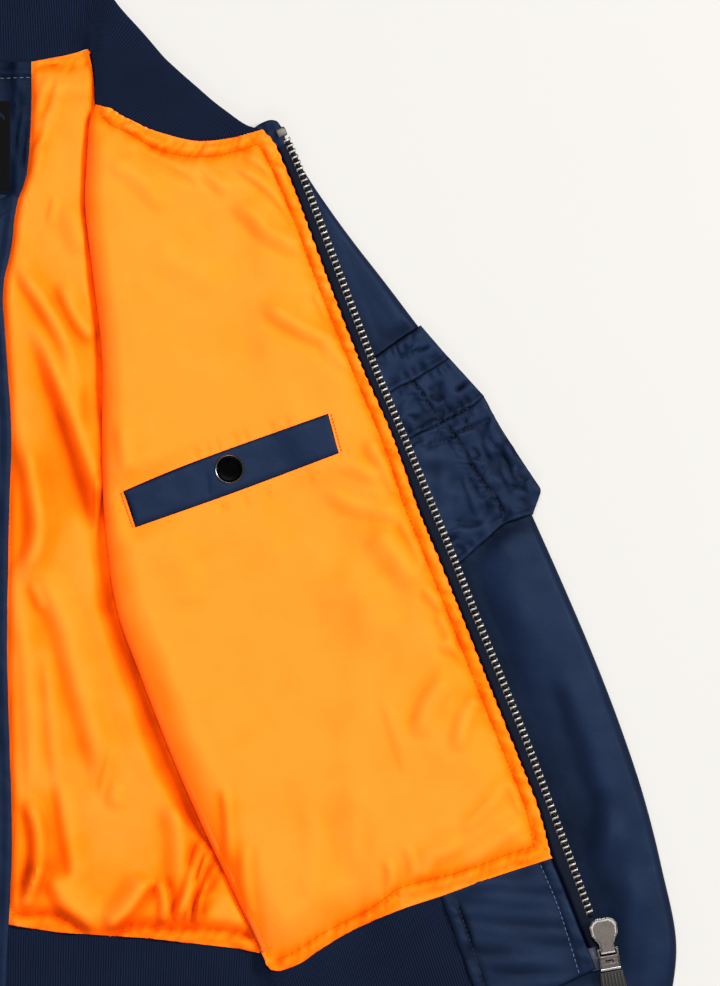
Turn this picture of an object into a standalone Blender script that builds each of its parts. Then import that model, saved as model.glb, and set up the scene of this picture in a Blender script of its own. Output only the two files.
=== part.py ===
"""Nylon flight bomber jacket, adult M, laid flat on its back with its left front folded open.

Lengths in the tables are millimetres. +X is the wearer's left, +Y is toward the collar, +Z is up, and the
origin lies on the surface under the middle of the centre back. Left and right are the wearer's.
"""

import math

import bmesh
import bpy
import numpy as np
from mathutils import Matrix, Vector

MM = 0.001

# Cloth, in millimetres. Pieces that touch are GAP apart, and seam edges SEAM_GAP apart in plan.
GAP = 0.3
SEAM_GAP = 0.6
SHELL = 2.5  # nylon with its wadding
LINING = 1.2
RIB = 2.5  # knit rib, folded double
TRIM = 0.8
LABEL = 0.4

# Heights of the undersides of the layers that lie flat.
LINING_Z = SHELL + GAP
SEAM_Z = LINING_Z  # a front, where it is sewn to the back
FACING_Z = LINING_Z + LINING + GAP
LABEL_Z = FACING_Z + TRIM + GAP
FLAP_Z = LABEL_Z
LEFT_FRONT_Z = FACING_Z
RIGHT_FRONT_Z = FLAP_Z + LINING + GAP
SEAM_RAMP = 16  # how far in from a seam a front reaches its level
SLEEVE_HOLLOW = 3.5  # air between the two walls of a flat sleeve
SLEEVE_TOP = 2 * SHELL + SLEEVE_HOLLOW
POCKET_Z = SLEEVE_TOP + GAP
POCKET_TOP = POCKET_Z + 2.0 + GAP

# Outline of the left half of the body, (x, y) from the centre outward.
NECK_HALF = ((0, 325), (24, 326), (47, 329), (68, 333), (85, 337))
SHOULDER_POINT = (218, 271)
ARMHOLE = (SHOULDER_POINT, (213, 218), (214, 158), (224, 106), (248, 65), (280, 36))
SIDE_SEAM = ((280, 36), (276, -40), (263, -119), (242, -198), (220, -244), (207, -262))
BACK_HEM_HALF = ((0, -241), (32, -241), (64, -246), (125, -250), (185, -257), (207, -262))
FRONT_HEM = ((-207, -262), (-150, -266), (-8, -266))
RIGHT_NECK = ((-85, 337), (-84, 320), (-79, 297), (-67, 274), (-48, 255), (-26, 243), (-8, 238))
CENTRE_FRONT_X = -8
RIB_DEPTH = 80
COLLAR_DEPTH = 54
LINING_INSET = 23  # from the armhole and side seams
PLACKET_WIDTH = 78

# The left front: the line it is folded on, and the edges of the part turned over to the right.
FOLD_LINE = (
    (90, 301), (86, 290), (84, 263), (83, 233), (88, 188), (94, 134), (94, 65), (97, 13), (104, -33),
    (119, -75), (140, -129), (161, -177), (178, -213), (195, -249), (199, -258),
)  # fmt: skip
LEFT_NECK = ((90, 301), (103, 292), (117, 285), (131, 280), (156, 275), (180, 278), (199, 284))
LEFT_EDGE = (
    (199, 284), (207, 275), (215, 257), (223, 237), (231, 215), (244, 180), (264, 129), (285, 81),
    (302, 33), (323, -18), (350, -86), (373, -143), (382, -167), (390, -197),
)  # fmt: skip
LEFT_EDGE_BELOW = ((390, -197), (398, -216), (409, -244), (420, -270))
LEFT_HEM = ((199, -258), (206, -271), (223, -267), (238, -257), (260, -244), (290, -231), (317, -222))
LEFT_HEM_PLACKET = ((317, -222), (350, -210), (390, -197))
PLACKET_INNER = ((317, -222), (331, -260), (345, -299))
PLACKET_BOTTOM = ((345, -299), (375, -289), (400, -279), (420, -270))
TEETH_LINE = (
    (214, 281), (225, 256), (247, 198), (270, 137), (281, 110), (294, 79), (310, 40), (327, -2),
    (341, -38), (372, -115), (400, -190), (416, -234),
)  # fmt: skip

# The sleeve's outline, from the armhole to the cuff.
SLEEVE_OUTER = (
    SHOULDER_POINT, (228, 255), (259, 211), (287, 175), (320, 131), (342, 104), (360, 73), (375, 36),
    (395, -9), (418, -63), (444, -132), (459, -185), (469, -231), (474, -270), (467, -305),
)  # fmt: skip
SLEEVE_INNER = (
    (281, 35), (279, -40), (267, -119), (273, -158), (289, -205), (307, -244), (329, -280), (363, -323),
)  # fmt: skip
CUFF_DEPTH = 65
CUFF_WIDTH = 92
CUFF_HOLLOW = 1.2

# The collar's free edge along the right front, and along the left front that is turned over.
COLLAR_RIGHT_EDGE = (
    (-63, 379), (-51, 356), (-41, 333), (-32, 312), (-21, 290), (-13, 266), (-8, 252), (-3, 240),
)  # fmt: skip
COLLAR_LEFT_EDGE = (
    (136, 331), (152, 315), (163, 308), (171, 302), (178, 296), (185, 290), (191, 286), (196, 285),
)  # fmt: skip

# The left hem's free edge, from the side seam to the placket.
RIB_LEFT_EDGE = ((214, -345), (236, -350), (260, -341), (280, -327), (317, -309), (344, -300))

BACK_FACING = ((47, 329), (47, 303), (46, 277), (44, 255), (40, 242), (32, 230), (17, 222), (0, 219))
LABEL_SIZE = (66, 59)
LABEL_TOP = 303
WIND_FLAP_INNER_X = -20
WIND_FLAP_TOP = ((-20, 241), (4, 241), (25, 240), (33, 226))
WIND_FLAP_EDGE = (
    (33, 226), (34, 214), (27, 177), (28, 147), (34, 85), (32, 20), (31, -67), (34, -172), (33, -221),
    (30, -281), (30, -338),
)  # fmt: skip

# The utility pocket's seams on the left sleeve, from the hidden side out to the sleeve's edge.
PEN_BAND_TOP = ((262, 128), (276, 136), (290, 146), (304, 155))
POCKET_MOUTH = ((274, 103), (289, 114), (298, 118), (313, 127), (323, 133))
POCKET_SEAM = ((288, 74), (300, 82), (312, 87), (319, 91), (336, 100), (346, 108))
POCKET_HEM = ((316, -13), (331, -1), (349, 15), (360, 24), (378, 30))
POCKET_OUTER = ((346, 108), (356, 89), (372, 64), (383, 47), (378, 30))

WELT_CORNERS = ((108, 45), (116, 22), (250, 71), (243, 96))
SNAP_CENTRE = (178, 60)
SNAP_RADIUS = 9.9

# Largest folds of the linings: both ends, half width and height.
BACK_FOLDS = (
    (58, 190, 76, 30, 8, 3.0),
    (44, 60, 70, -90, 9, 3.5),
    (60, -20, 110, -190, 9, 3.5),
    (52, -150, 66, -215, 7, 3.0),
)
FRONT_FOLDS = (
    (215, 200, 235, 110, 12, 2.5),
    (150, 215, 120, 120, 16, 2.5),
    (290, -20, 320, -110, 12, 3.0),
    (200, -60, 260, -160, 16, 3.0),
    (150, -110, 200, -200, 14, 2.5),
)

# The slider, from its centre on the cloth: y along the zip, half width, for its plates and its bridge.
SLIDER_CENTRE = (425.5, -247.5)
SLIDER_TURN = math.radians(10)
SLIDER_OUTLINE = ((12, 4.5), (10.5, 7.5), (7, 9.9), (1, 9.4), (-6, 6.3), (-12, 5.0))
BRIDGE_OUTLINE = ((11.6, 4.2), (10.2, 7), (7, 9.2), (1, 8.7), (-5, 4.9), (-11.8, 4.6))
SLIDER_PLATE = 1.3
CHANNEL_LEAN = math.radians(-7.5)
SLIDER_HEIGHT = 6.2
BRIDGE_Z = (8.1, 9.3)
PIVOT_Y = -9
PIVOT_Z = 7.25
PULL_SLOPE = math.radians(5.5)
CONNECTOR = 1.2
CONNECTOR_HALF = (5.4, 6.9)
CONNECTOR_END = -23.5
TAB_OUTLINE = ((-24, 7.6), (-36, 8.6), (-52, 9.2), (-57, 8.6), (-60, 6.4), (-61.5, 3))
TAB = 2.4

NAVY = (0.018, 0.028, 0.066)
ORANGE = (1.0, 0.36, 0.028)
RIB_NAVY = (0.008, 0.011, 0.028)
BLACK = (0.008, 0.008, 0.01)
METAL = (0.35, 0.33, 0.29)
GUNMETAL = (0.06, 0.06, 0.06)


# ---------------------------------------------------------------- curves and heights


def mirrored(points):
    return [(-x, y) for x, y in points]


def smooth_curve(points, count):
    """count points on a smooth curve through points."""
    given = np.array(points, float)
    ends = np.vstack([2 * given[0] - given[1], given, 2 * given[-1] - given[-2]])
    t = np.linspace(0, 1, 12, endpoint=False)[:, None]
    spans = [
        b + 0.5 * t * (c - a + t * (2 * a - 5 * b + 4 * c - d + t * (3 * b - a - 3 * c + d)))
        for a, b, c, d in zip(ends, ends[1:], ends[2:], ends[3:])
    ]
    return spaced(np.vstack([*spans, given[-1:]]), count)


def spaced(points, count):
    """count points, evenly spaced, on the straight runs between points."""
    line = np.array(points, float)
    run = np.concatenate([[0], np.cumsum(np.linalg.norm(np.diff(line, axis=0), axis=1))])
    places = np.linspace(0, run[-1], count)
    return np.stack([np.interp(places, run, line[:, k]) for k in range(line.shape[1])], axis=1)


def joined(*curves):
    """Curves end to end, without the point that two neighbours share."""
    return np.vstack([curves[0], *[curve[1:] for curve in curves[1:]]])


def offset_curve(points, distance):
    """The curve moved to the left of its direction by distance."""
    along = np.gradient(np.array(points, float), axis=0)
    along /= np.linalg.norm(along, axis=1)[:, None]
    left = np.stack([-along[:, 1], along[:, 0]], axis=1)
    return np.array(points) + left * np.reshape(distance, (-1, 1))


def patch(left, right, top, bottom, shares=None):
    """Grid of plan points inside four edges: rows from top to bottom, columns from left to right.

    shares says how far across each column lies, from 0 to 1, where they aren't evenly spaced."""
    left, right, top, bottom = (np.array(edge, float) for edge in (left, right, top, bottom))
    v = np.linspace(0, 1, len(left))[:, None, None]
    u = np.reshape(np.linspace(0, 1, len(top)) if shares is None else shares, (1, -1, 1))
    across = (1 - u) * left[:, None] + u * right[:, None]
    along = (1 - v) * top[None] + v * bottom[None]
    corners = (1 - v) * ((1 - u) * top[0] + u * top[-1]) + v * ((1 - u) * bottom[0] + u * bottom[-1])
    return across + along - corners


def smooth_step(value):
    value = min(max(value, 0.0), 1.0)
    return value * value * (3 - 2 * value)


def distance_to_line(x, y, line):
    start = line[:-1]
    run = line[1:] - start
    place = np.array([x, y]) - start
    share = np.clip((place * run).sum(1) / np.maximum((run * run).sum(1), 1e-9), 0, 1)
    return float(np.linalg.norm(place - share[:, None] * run, axis=1).min())


def inside(x, y, outline):
    a, b = outline, np.roll(outline, -1, axis=0)
    crosses = (a[:, 1] > y) != (b[:, 1] > y)
    rise = np.where(crosses, b[:, 1] - a[:, 1], 1)
    return bool((crosses & (x < a[:, 0] + (y - a[:, 1]) * (b[:, 0] - a[:, 0]) / rise)).sum() % 2)


def plateau(x, y, outline, height, margin=12, ramp=38):
    """height over outline and margin round it, falling to nothing over ramp beyond that."""
    away = distance_to_line(x, y, np.vstack([outline, outline[:1]]))
    if inside(x, y, outline):
        away = -away
    return height * smooth_step((margin + ramp - away) / ramp)


BODY_ROWS = 18
ARMHOLE_ROWS = 9
ARMHOLE_EDGE = smooth_curve(ARMHOLE, ARMHOLE_ROWS)
BODY_EDGE = joined(ARMHOLE_EDGE, smooth_curve(SIDE_SEAM, BODY_ROWS - ARMHOLE_ROWS + 1))
NECK_LEFT_SEAM = smooth_curve(LEFT_NECK, 14)
HEM_LEFT_SEAM = joined(smooth_curve(LEFT_HEM, 9), smooth_curve(LEFT_HEM_PLACKET, 6))
SLEEVE_ROWS = 8  # below the underarm
SLEEVE_OUT_UPPER = smooth_curve(SLEEVE_OUTER[:8], ARMHOLE_ROWS)
SLEEVE_OUT_UPPER[0] = SLEEVE_OUT_UPPER[0] * 0.7 + SLEEVE_OUT_UPPER[1] * 0.3
SLEEVE_OUT_LOWER = smooth_curve(SLEEVE_OUTER[7:], SLEEVE_ROWS)
SLEEVE_OUT = joined(SLEEVE_OUT_UPPER, SLEEVE_OUT_LOWER)
SLEEVE_IN = smooth_curve(SLEEVE_INNER, SLEEVE_ROWS)
BODY_PLAN = np.vstack([NECK_HALF, BODY_EDGE, BACK_HEM_HALF[::-1]])
SLEEVE_PLAN = np.vstack([ARMHOLE_EDGE[::-1], SLEEVE_OUT, SLEEVE_IN[::-1]])
POCKET_PLAN = np.vstack([PEN_BAND_TOP, POCKET_OUTER, POCKET_HEM[::-1]])


def rest_height(x, y):
    """Height of what the turned-over left front, its collar and its hem lie on."""
    return max(
        plateau(x, y, BODY_PLAN, LEFT_FRONT_Z + SHELL + GAP),
        plateau(x, y, SLEEVE_PLAN, SLEEVE_TOP + GAP),
        plateau(x, y, POCKET_PLAN, POCKET_TOP),
    )


def folds(x, y, rows):
    """Rise of the cloth where its largest folds stand up."""
    rise = 0.0
    for x0, y0, x1, y1, half_width, height in rows:
        away = distance_to_line(x, y, np.array([[x0, y0], [x1, y1]], float))
        rise = max(rise, height * math.exp(-((away / half_width) ** 2)))
    return rise


def front_height(x, y, level, edge):
    """Underside of a front that lies in place: low at its seams with the back, at level elsewhere."""
    return SEAM_Z + (level - SEAM_Z) * smooth_step(distance_to_line(x, y, edge) / SEAM_RAMP)


def right_hem_level(x):
    """Underside of the right front's hem: it lies on the back's hem, and on the wind flap near the zip."""
    return LEFT_FRONT_Z + (RIGHT_FRONT_Z - LEFT_FRONT_Z) * smooth_step((x + 50) / 20)


RIGHT_EDGE = np.vstack([[(-85.0, 337.0)], mirrored(BODY_EDGE)])
LEFT_SEAMS = np.vstack([[(85.0, 337.0)], BODY_EDGE])


def right_front_height(x, y):
    rise = smooth_step((y + 262) / 30)
    hem = right_hem_level(x) + (RIGHT_FRONT_Z - right_hem_level(x)) * rise
    return min(front_height(x, y, RIGHT_FRONT_Z, RIGHT_EDGE), hem)


def left_front_height(x, y):
    return front_height(x, y, LEFT_FRONT_Z, LEFT_SEAMS)


def turned_lining_height(x, y):
    """Underside of the lining of the turned-over left front."""
    return rest_height(x, y) + SHELL + 2 * GAP + folds(x, y, FRONT_FOLDS)


def raised(grid, height):
    """A grid of plan points with height(x, y) as z."""
    return np.array([[(x, y, height(x, y)) for x, y in row] for row in grid])


# ---------------------------------------------------------------- meshes


def make_material(name, colour, roughness, metallic=0.0):
    material = bpy.data.materials.new(name)
    material.use_nodes = True
    shader = material.node_tree.nodes["Principled BSDF"]
    shader.inputs["Base Color"].default_value = (*colour, 1)
    shader.inputs["Roughness"].default_value = roughness
    shader.inputs["Metallic"].default_value = metallic
    material.diffuse_color = (*colour, 1)
    return material


def new_object(name, mesh, material):
    mesh.materials.append(material)
    mesh.shade_smooth()
    mesh.set_sharp_from_angle(angle=math.radians(40))
    obj = bpy.data.objects.new(name, mesh)
    bpy.context.scene.collection.objects.link(obj)
    return obj


def add_grid(mesh, grid):
    """Quads between the points of grid."""
    rows = [[mesh.verts.new(Vector(point) * MM) for point in row] for row in grid]
    for upper, lower in zip(rows, rows[1:]):
        columns = list(zip(upper, lower))
        for (a, b), (d, c) in zip(columns, columns[1:]):
            mesh.faces.new((a, b, c, d))


def cloth(name, grids, thickness, side, material):
    """A wall of cloth. Its given face is one or more grids, and it grows toward side, +1 or -1."""
    mesh = bmesh.new()
    for grid in grids:
        add_grid(mesh, grid)
    bmesh.ops.remove_doubles(mesh, verts=mesh.verts, dist=0.02 * MM)
    data = bpy.data.meshes.new(name)
    mesh.to_mesh(data)
    mesh.free()
    obj = new_object(name, data, material)
    wall = obj.modifiers.new("wall", "SOLIDIFY")
    wall.thickness = thickness * MM
    wall.offset = side
    return obj


def outline_from(table):
    """Closed outline of a shape symmetric about its y axis, from rows of (y, half width)."""
    right = [(half, y) for y, half in table]
    return right + [(-x, y) for x, y in reversed(right)]


def prism(name, outline, low, high, material, place=None):
    """A solid of this plan outline between two heights, moved by place."""
    mesh = bmesh.new()
    face = mesh.faces.new([mesh.verts.new(Vector((x, y, low)) * MM) for x, y in outline])
    top = bmesh.ops.extrude_face_region(mesh, geom=[face])["geom"]
    corners = [item for item in top if isinstance(item, bmesh.types.BMVert)]
    bmesh.ops.translate(mesh, verts=corners, vec=(0, 0, (high - low) * MM))
    bmesh.ops.recalc_face_normals(mesh, faces=mesh.faces)
    data = bpy.data.meshes.new(name)
    mesh.to_mesh(data)
    mesh.free()
    obj = new_object(name, data, material)
    if place:
        obj.matrix_world = place
    return obj


def box_outline(x0, x1, y0, y1):
    return ((x0, y0), (x1, y0), (x1, y1), (x0, y1))


def boolean(obj, other, operation):
    """Joins other to obj or cuts it away, and keeps other as a hidden helper."""
    modifier = obj.modifiers.new(operation.lower(), "BOOLEAN")
    modifier.operation = operation
    modifier.object = other
    other.hide_render = True
    other.display_type = "WIRE"


# ---------------------------------------------------------------- the jacket


def back(shell, lining_cloth, facing_cloth, label_cloth):
    left = mirrored(BODY_EDGE)
    shoulder = spaced((mirrored([SHOULDER_POINT])[0], (-85, 337)), 4)
    neck = joined(np.array(mirrored(NECK_HALF[::-1])), np.array(NECK_HALF))
    top = joined(shoulder, neck, np.array(mirrored(shoulder[::-1])))
    hem = joined(np.array(mirrored(BACK_HEM_HALF[::-1])), np.array(BACK_HEM_HALF))
    plan = patch(left, BODY_EDGE, top, spaced(hem, len(top)))
    cloth("back_shell", [raised(plan, lambda x, y: SHELL)], SHELL, -1, shell)

    side = smooth_curve(joined(np.array(ARMHOLE), np.array(SIDE_SEAM)) - (LINING_INSET, 0), 17)
    side[0] = shoulder_end = (196, 240)
    side[-3:-1] -= ((6, 0), (14, 0))
    side[-1] = (174, np.interp(174, hem[:, 0], hem[:, 1]))
    shoulder = spaced((mirrored([shoulder_end])[0], (-88, 304)), 4)
    top = np.vstack([shoulder, spaced(neck * (0.9, 1) - (0, SEAM_GAP), 11), mirrored(shoulder[::-1])])
    shares = (top[:, 0] / shoulder_end[0] + 1) / 2
    bottom_x = (2 * shares - 1) * side[-1][0]
    bottom = np.stack([bottom_x, np.interp(bottom_x, hem[:, 0], hem[:, 1])], axis=1)
    plan = patch(mirrored(side), side, top, bottom, shares)
    height = lambda x, y: LINING_Z + open_back(x, y) * folds(x, y, BACK_FOLDS)
    cloth("back_lining", [raised(plan, height)], LINING, 1, lining_cloth)

    facing_side = smooth_curve(BACK_FACING[:4], 5)
    corner = smooth_curve(BACK_FACING[3:], 4)
    bottom = joined(np.array(mirrored(corner)), corner[::-1])
    top = spaced(((-47, 328), (47, 328)), len(bottom))
    plan = patch(mirrored(facing_side), facing_side, top, bottom)
    cloth("back_neck_facing", [raised(plan, lambda x, y: FACING_Z)], TRIM, 1, facing_cloth)

    width, height = LABEL_SIZE
    outline = box_outline(-width / 2, width / 2, LABEL_TOP - height, LABEL_TOP)
    prism("neck_label", outline, LABEL_Z, LABEL_Z + LABEL, label_cloth)


def open_back(x, y):
    """1 where the back lining lies open to view, 0 near what covers it."""
    fold_x = np.interp(-y, [-point[1] for point in FOLD_LINE], [point[0] for point in FOLD_LINE])
    return smooth_step((x - 36) / 10) * smooth_step((fold_x - 24 - x) / 12) * smooth_step((y + 238) / 12)


def left_front(shell, lining_cloth):
    fold = smooth_curve(FOLD_LINE, BODY_ROWS - 1)
    axis = offset_curve(fold, SHELL + LINING + GAP)
    out = fold - axis
    out /= np.linalg.norm(out, axis=1)[:, None]
    axis[0] -= (0, 4)
    seam = offset_curve(BODY_EDGE, -0.2)
    neck_point = np.array([(86, 335)])
    shares = np.array((0, 0.3, 0.6, 0.88, 1))[:, None]
    shoulder = neck_point * (1 - shares) + seam[0] * shares
    tip = axis[-1] * (1 - shares) + seam[-1] * shares
    in_place = patch(np.vstack([neck_point, axis]), seam, shoulder, tip, shares)
    under = raised(in_place, lambda x, y: left_front_height(x, y) + SHELL)

    edge = smooth_curve(LEFT_EDGE, BODY_ROWS - 1)
    neck = np.vstack([axis[:1], NECK_LEFT_SEAM[1:]])
    hem = np.vstack([axis[-1:], HEM_LEFT_SEAM[1:]])
    plan = patch(axis, edge, neck, hem)
    over = raised(plan, rest_height)

    bend = fold_roll(under[1:, 0], over[:, 0], out, 0.0, (-90, -45, 0, 45, 90))
    cloth("left_front_shell", [under[:, ::-1], bend, over], SHELL, 1, shell)

    bend = fold_roll(under[1:, 0], over[:, 0], out, SHELL + GAP, (-30, 0, 30, 60, 90))
    lining = raised(plan, turned_lining_height)
    lining[:, 0] = bend[:, -1]
    cloth("left_front_lining", [bend, lining], LINING, 1, lining_cloth)


def fold_roll(under, over, out, extra, angles):
    """Columns of points round a fold, from its lower cloth to its upper one, extra outside their faces."""
    columns = []
    for degrees in angles:
        angle = math.radians(degrees)
        radius = (over[:, 2] - under[:, 2]) / 2 + extra
        middle = (over[:, 2] + under[:, 2]) / 2
        flat = over[:, :2] + out * (radius * math.cos(angle))[:, None]
        columns.append(np.column_stack([flat, middle + radius * math.sin(angle)]))
    return np.stack(columns, axis=1)


def right_front(shell, flap_cloth):
    seam = mirrored(offset_curve(BODY_EDGE, -0.2))
    shoulder = spaced((seam[0], (-86, 335)), 4)
    neck = smooth_curve(RIGHT_NECK, 8)
    hem = spaced(FRONT_HEM, 11)
    centre = spaced((neck[-1], hem[-1]), BODY_ROWS)
    plan = patch(seam, centre, joined(shoulder, neck), hem)
    cloth("right_front_shell", [raised(plan, right_front_height)], SHELL, 1, shell)

    edge = smooth_curve(WIND_FLAP_EDGE, 15)
    inner = spaced(((WIND_FLAP_INNER_X, WIND_FLAP_TOP[0][1]), (WIND_FLAP_INNER_X, WIND_FLAP_EDGE[-1][1])), 15)
    bottom = spaced((inner[-1], edge[-1]), len(WIND_FLAP_TOP))
    plan = patch(inner, edge, WIND_FLAP_TOP, bottom)
    cloth("wind_flap", [raised(plan, lambda x, y: FLAP_Z)], LINING, 1, flap_cloth)


def collar(rib):
    """One band of rib round the neck: right front, over the right shoulder, back, left front."""
    neck = smooth_curve(RIGHT_NECK, 8)[::-1]
    free = smooth_curve(COLLAR_RIGHT_EDGE, 8)[::-1]
    bottom = RIGHT_FRONT_Z
    stations = [
        (*between(seam, edge, SEAM_GAP), bottom, bottom) for seam, edge in zip(neck, free)
    ]
    fold_seam = np.array((-86.0, 338.0))
    fold_free = np.array((-78.0, 391.0))
    middle, radius = (bottom + RIB) / 2, (bottom - RIB) / 2
    for degrees in (45, 0, -45):
        angle = math.radians(degrees)
        shift = np.array((-radius * math.cos(angle), 0))
        z = middle + radius * math.sin(angle)
        stations.append((fold_seam + shift, fold_free + shift, z, z))
    for x, y in joined(np.array(mirrored(NECK_HALF[::-1])), np.array(NECK_HALF))[:-1]:
        seam, edge = between((x, y), (x * 0.94, y + COLLAR_DEPTH), SEAM_GAP)
        stations.append((seam, edge, RIB, RIB))
    turning = (
        ((80, 336.6), (83, 391), 0.0), ((86, 337.5), (92, 386), 0.75), ((87.5, 328), (103, 368), 1),
        ((89, 316), (121, 348), 1),
    )  # fmt: skip
    for seam, edge, lift in turning:
        heights = (RIB + lift * rest_height(*point) for point in (seam, edge))
        stations.append((np.array(seam), np.array(edge), *heights))
    for seam, edge in zip(NECK_LEFT_SEAM, smooth_curve(COLLAR_LEFT_EDGE, len(NECK_LEFT_SEAM))):
        seam, edge = between(seam, edge, SEAM_GAP)
        stations.append((seam, edge, *(RIB + rest_height(*point) for point in (seam, edge))))
    cloth("collar_rib", [band(stations)], RIB, -1, rib)


def between(seam, edge, gap):
    """The seam point moved gap toward the free edge, and the free edge's point."""
    seam, edge = np.array(seam, float), np.array(edge, float)
    run = edge - seam
    return seam + run * (gap / max(np.linalg.norm(run), gap)), edge


def band(stations):
    """Rows of three points, from stations of (seam point, free point, seam height, free height)."""
    rows = []
    for seam, edge, seam_z, edge_z in stations:
        ends = np.array([(*seam, seam_z), (*edge, edge_z)])
        rows.append([ends[0], ends.mean(axis=0), ends[1]])
    return np.array(rows)


def hem(rib, shell):
    """One band of rib round the waist: right front, round the right side, back, left front."""
    line = np.array(BACK_HEM_HALF, float)
    stations = []
    for x in (-87, -110, -135, -165, -198):
        y = np.interp(x, [point[0] for point in FRONT_HEM], [point[1] for point in FRONT_HEM]) - SEAM_GAP
        z = right_hem_level(x)
        stations.append(((x, y), ((x + 87) * 0.97 - 87, y - RIB_DEPTH), z, z))
    middle, radius = (LEFT_FRONT_Z + RIB) / 2, (LEFT_FRONT_Z - RIB) / 2
    for degrees in (45, 0, -45):
        angle = math.radians(degrees)
        x = -204 - radius * math.cos(angle)
        z = middle + radius * math.sin(angle)
        stations.append(((x, -263), (x + 6, -343), z, z))
    for x in (-198, -165, -125, -64, 0, 64, 125, 165, 190):
        y = np.interp(abs(x), line[:, 0], line[:, 1]) - SEAM_GAP
        stations.append(((x, y), (x * 0.98, y - RIB_DEPTH), RIB, RIB))
    seam = offset_curve(HEM_LEFT_SEAM, -SEAM_GAP)[1:9]
    edge = smooth_curve(RIB_LEFT_EDGE, 9)[1:]
    turning = (((197.5, -260.8), (204, -342), 0.0), ((201.5, -265), (214, -345), 0.55))
    for point, free, lift in turning:
        stations.append((point, free, *(RIB + lift * rest_height(*place) for place in (point, free))))
    for point, free in zip(seam, edge):
        point = point - (0.4, 0)
        free = free - (0.6, 0)
        stations.append((point, free, *(RIB + rest_height(*place) for place in (point, free))))
    cloth("hem_rib", [band(stations)], RIB, 1, rib)

    inner = spaced(((-CENTRE_FRONT_X - PLACKET_WIDTH - 16, -267), (-86, -347)), 4)
    outer = spaced(((CENTRE_FRONT_X, -267), (CENTRE_FRONT_X, -346)), 4)
    plan = patch(inner, outer, spaced((inner[0], outer[0]), 7), spaced((inner[-1], outer[-1]), 7))
    cloth("right_hem_placket", [raised(plan, lambda x, y: right_hem_level(x))], SHELL, 1, shell)

    top = offset_curve(HEM_LEFT_SEAM, -SEAM_GAP)[8:]
    inner = smooth_curve((top[0], *PLACKET_INNER[1:]), 5)
    outer = smooth_curve((top[-1], *LEFT_EDGE_BELOW[1:]), 5)
    bottom = smooth_curve(PLACKET_BOTTOM, len(top))
    plan = patch(inner, outer, top, bottom)
    cloth("left_hem_placket", [raised(plan, rest_height)], SHELL + LINING, 1, shell)


def tube(inner, outer, hollow, thickness, columns, open_rows=0):
    """Grids of the inner face of a flat tube of cloth on the surface, between two edges in plan.

    hollow(x, y) is the air inside. The first open_rows rows stay open at their inner edge."""
    outer_air = np.array([hollow(*point) for point in outer])
    inner_air = np.array([hollow(*point) for point in inner])
    outer_in = offset_curve(outer, -thickness - outer_air / 2)
    inner_in = offset_curve(inner, thickness + inner_air / 2)
    inner_in[:open_rows] = inner[:open_rows]
    round_outer, inner_bends = [], []
    for row in range(len(inner)):
        across = spaced((inner_in[row], outer_in[row]), columns)
        low = [(*point, thickness) for point in across]
        high = [(*point, thickness + hollow(*point)) for point in across]
        round_outer.append(low + bend_points(low[-1], high[-1], outer[row]) + high[::-1])
        if row >= open_rows:
            inner_bends.append([high[0], *bend_points(high[0], low[0], inner[row]), low[0]])
    return [np.array(round_outer), np.array(inner_bends)]


def bend_points(start, end, toward):
    """Two points of a half circle that runs from start straight up or down to end, toward a plan point."""
    start, end = np.array(start), np.array(end)
    out = np.array((*toward, start[2])) - start
    out *= np.linalg.norm(end - start) / 2 / np.linalg.norm(out)
    return [tuple(start + (end - start) * share + out * 0.85) for share in (0.25, 0.75)]


def sleeves(shell, rib):
    seam = offset_curve(ARMHOLE_EDGE, SEAM_GAP)
    inner, outer = np.vstack([seam[:-1], SLEEVE_IN]), SLEEVE_OUT
    inner[0] = inner[0] * 0.7 + inner[1] * 0.3
    wrist_line = np.array([inner[-1], outer[-1]])

    def air(x, y):
        opening = GAP + (SLEEVE_HOLLOW - GAP) * smooth_step(distance_to_line(x, y, seam) / 45)
        return CUFF_HOLLOW + (opening - CUFF_HOLLOW) * smooth_step(distance_to_line(x, y, wrist_line) / 40)

    sleeve = tube(inner, outer, air, SHELL, 5, open_rows=ARMHOLE_ROWS - 1)

    across = wrist_line[1] - wrist_line[0]
    across /= np.linalg.norm(across)
    down = np.array((across[1], -across[0]))
    start = [wrist_line[0] + down * SEAM_GAP + across, wrist_line[1] + down * SEAM_GAP - across]
    middle = wrist_line.mean(axis=0) + down * CUFF_DEPTH
    end = [middle - across * CUFF_WIDTH / 2, middle + across * CUFF_WIDTH / 2]
    cuff_edges = [spaced(edge, 4) for edge in zip(start, end)]
    cuff = tube(*cuff_edges, lambda x, y: CUFF_HOLLOW, RIB, 5)

    for side, flip in (("left", 1), ("right", -1)):
        for name, grids, thickness, material in (("sleeve", sleeve, SHELL, shell), ("cuff", cuff, RIB, rib)):
            grids = [grid[:, ::flip] * (flip, 1, 1) for grid in grids]
            cloth(f"{side}_{name}", grids, thickness, -1, material)


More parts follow.
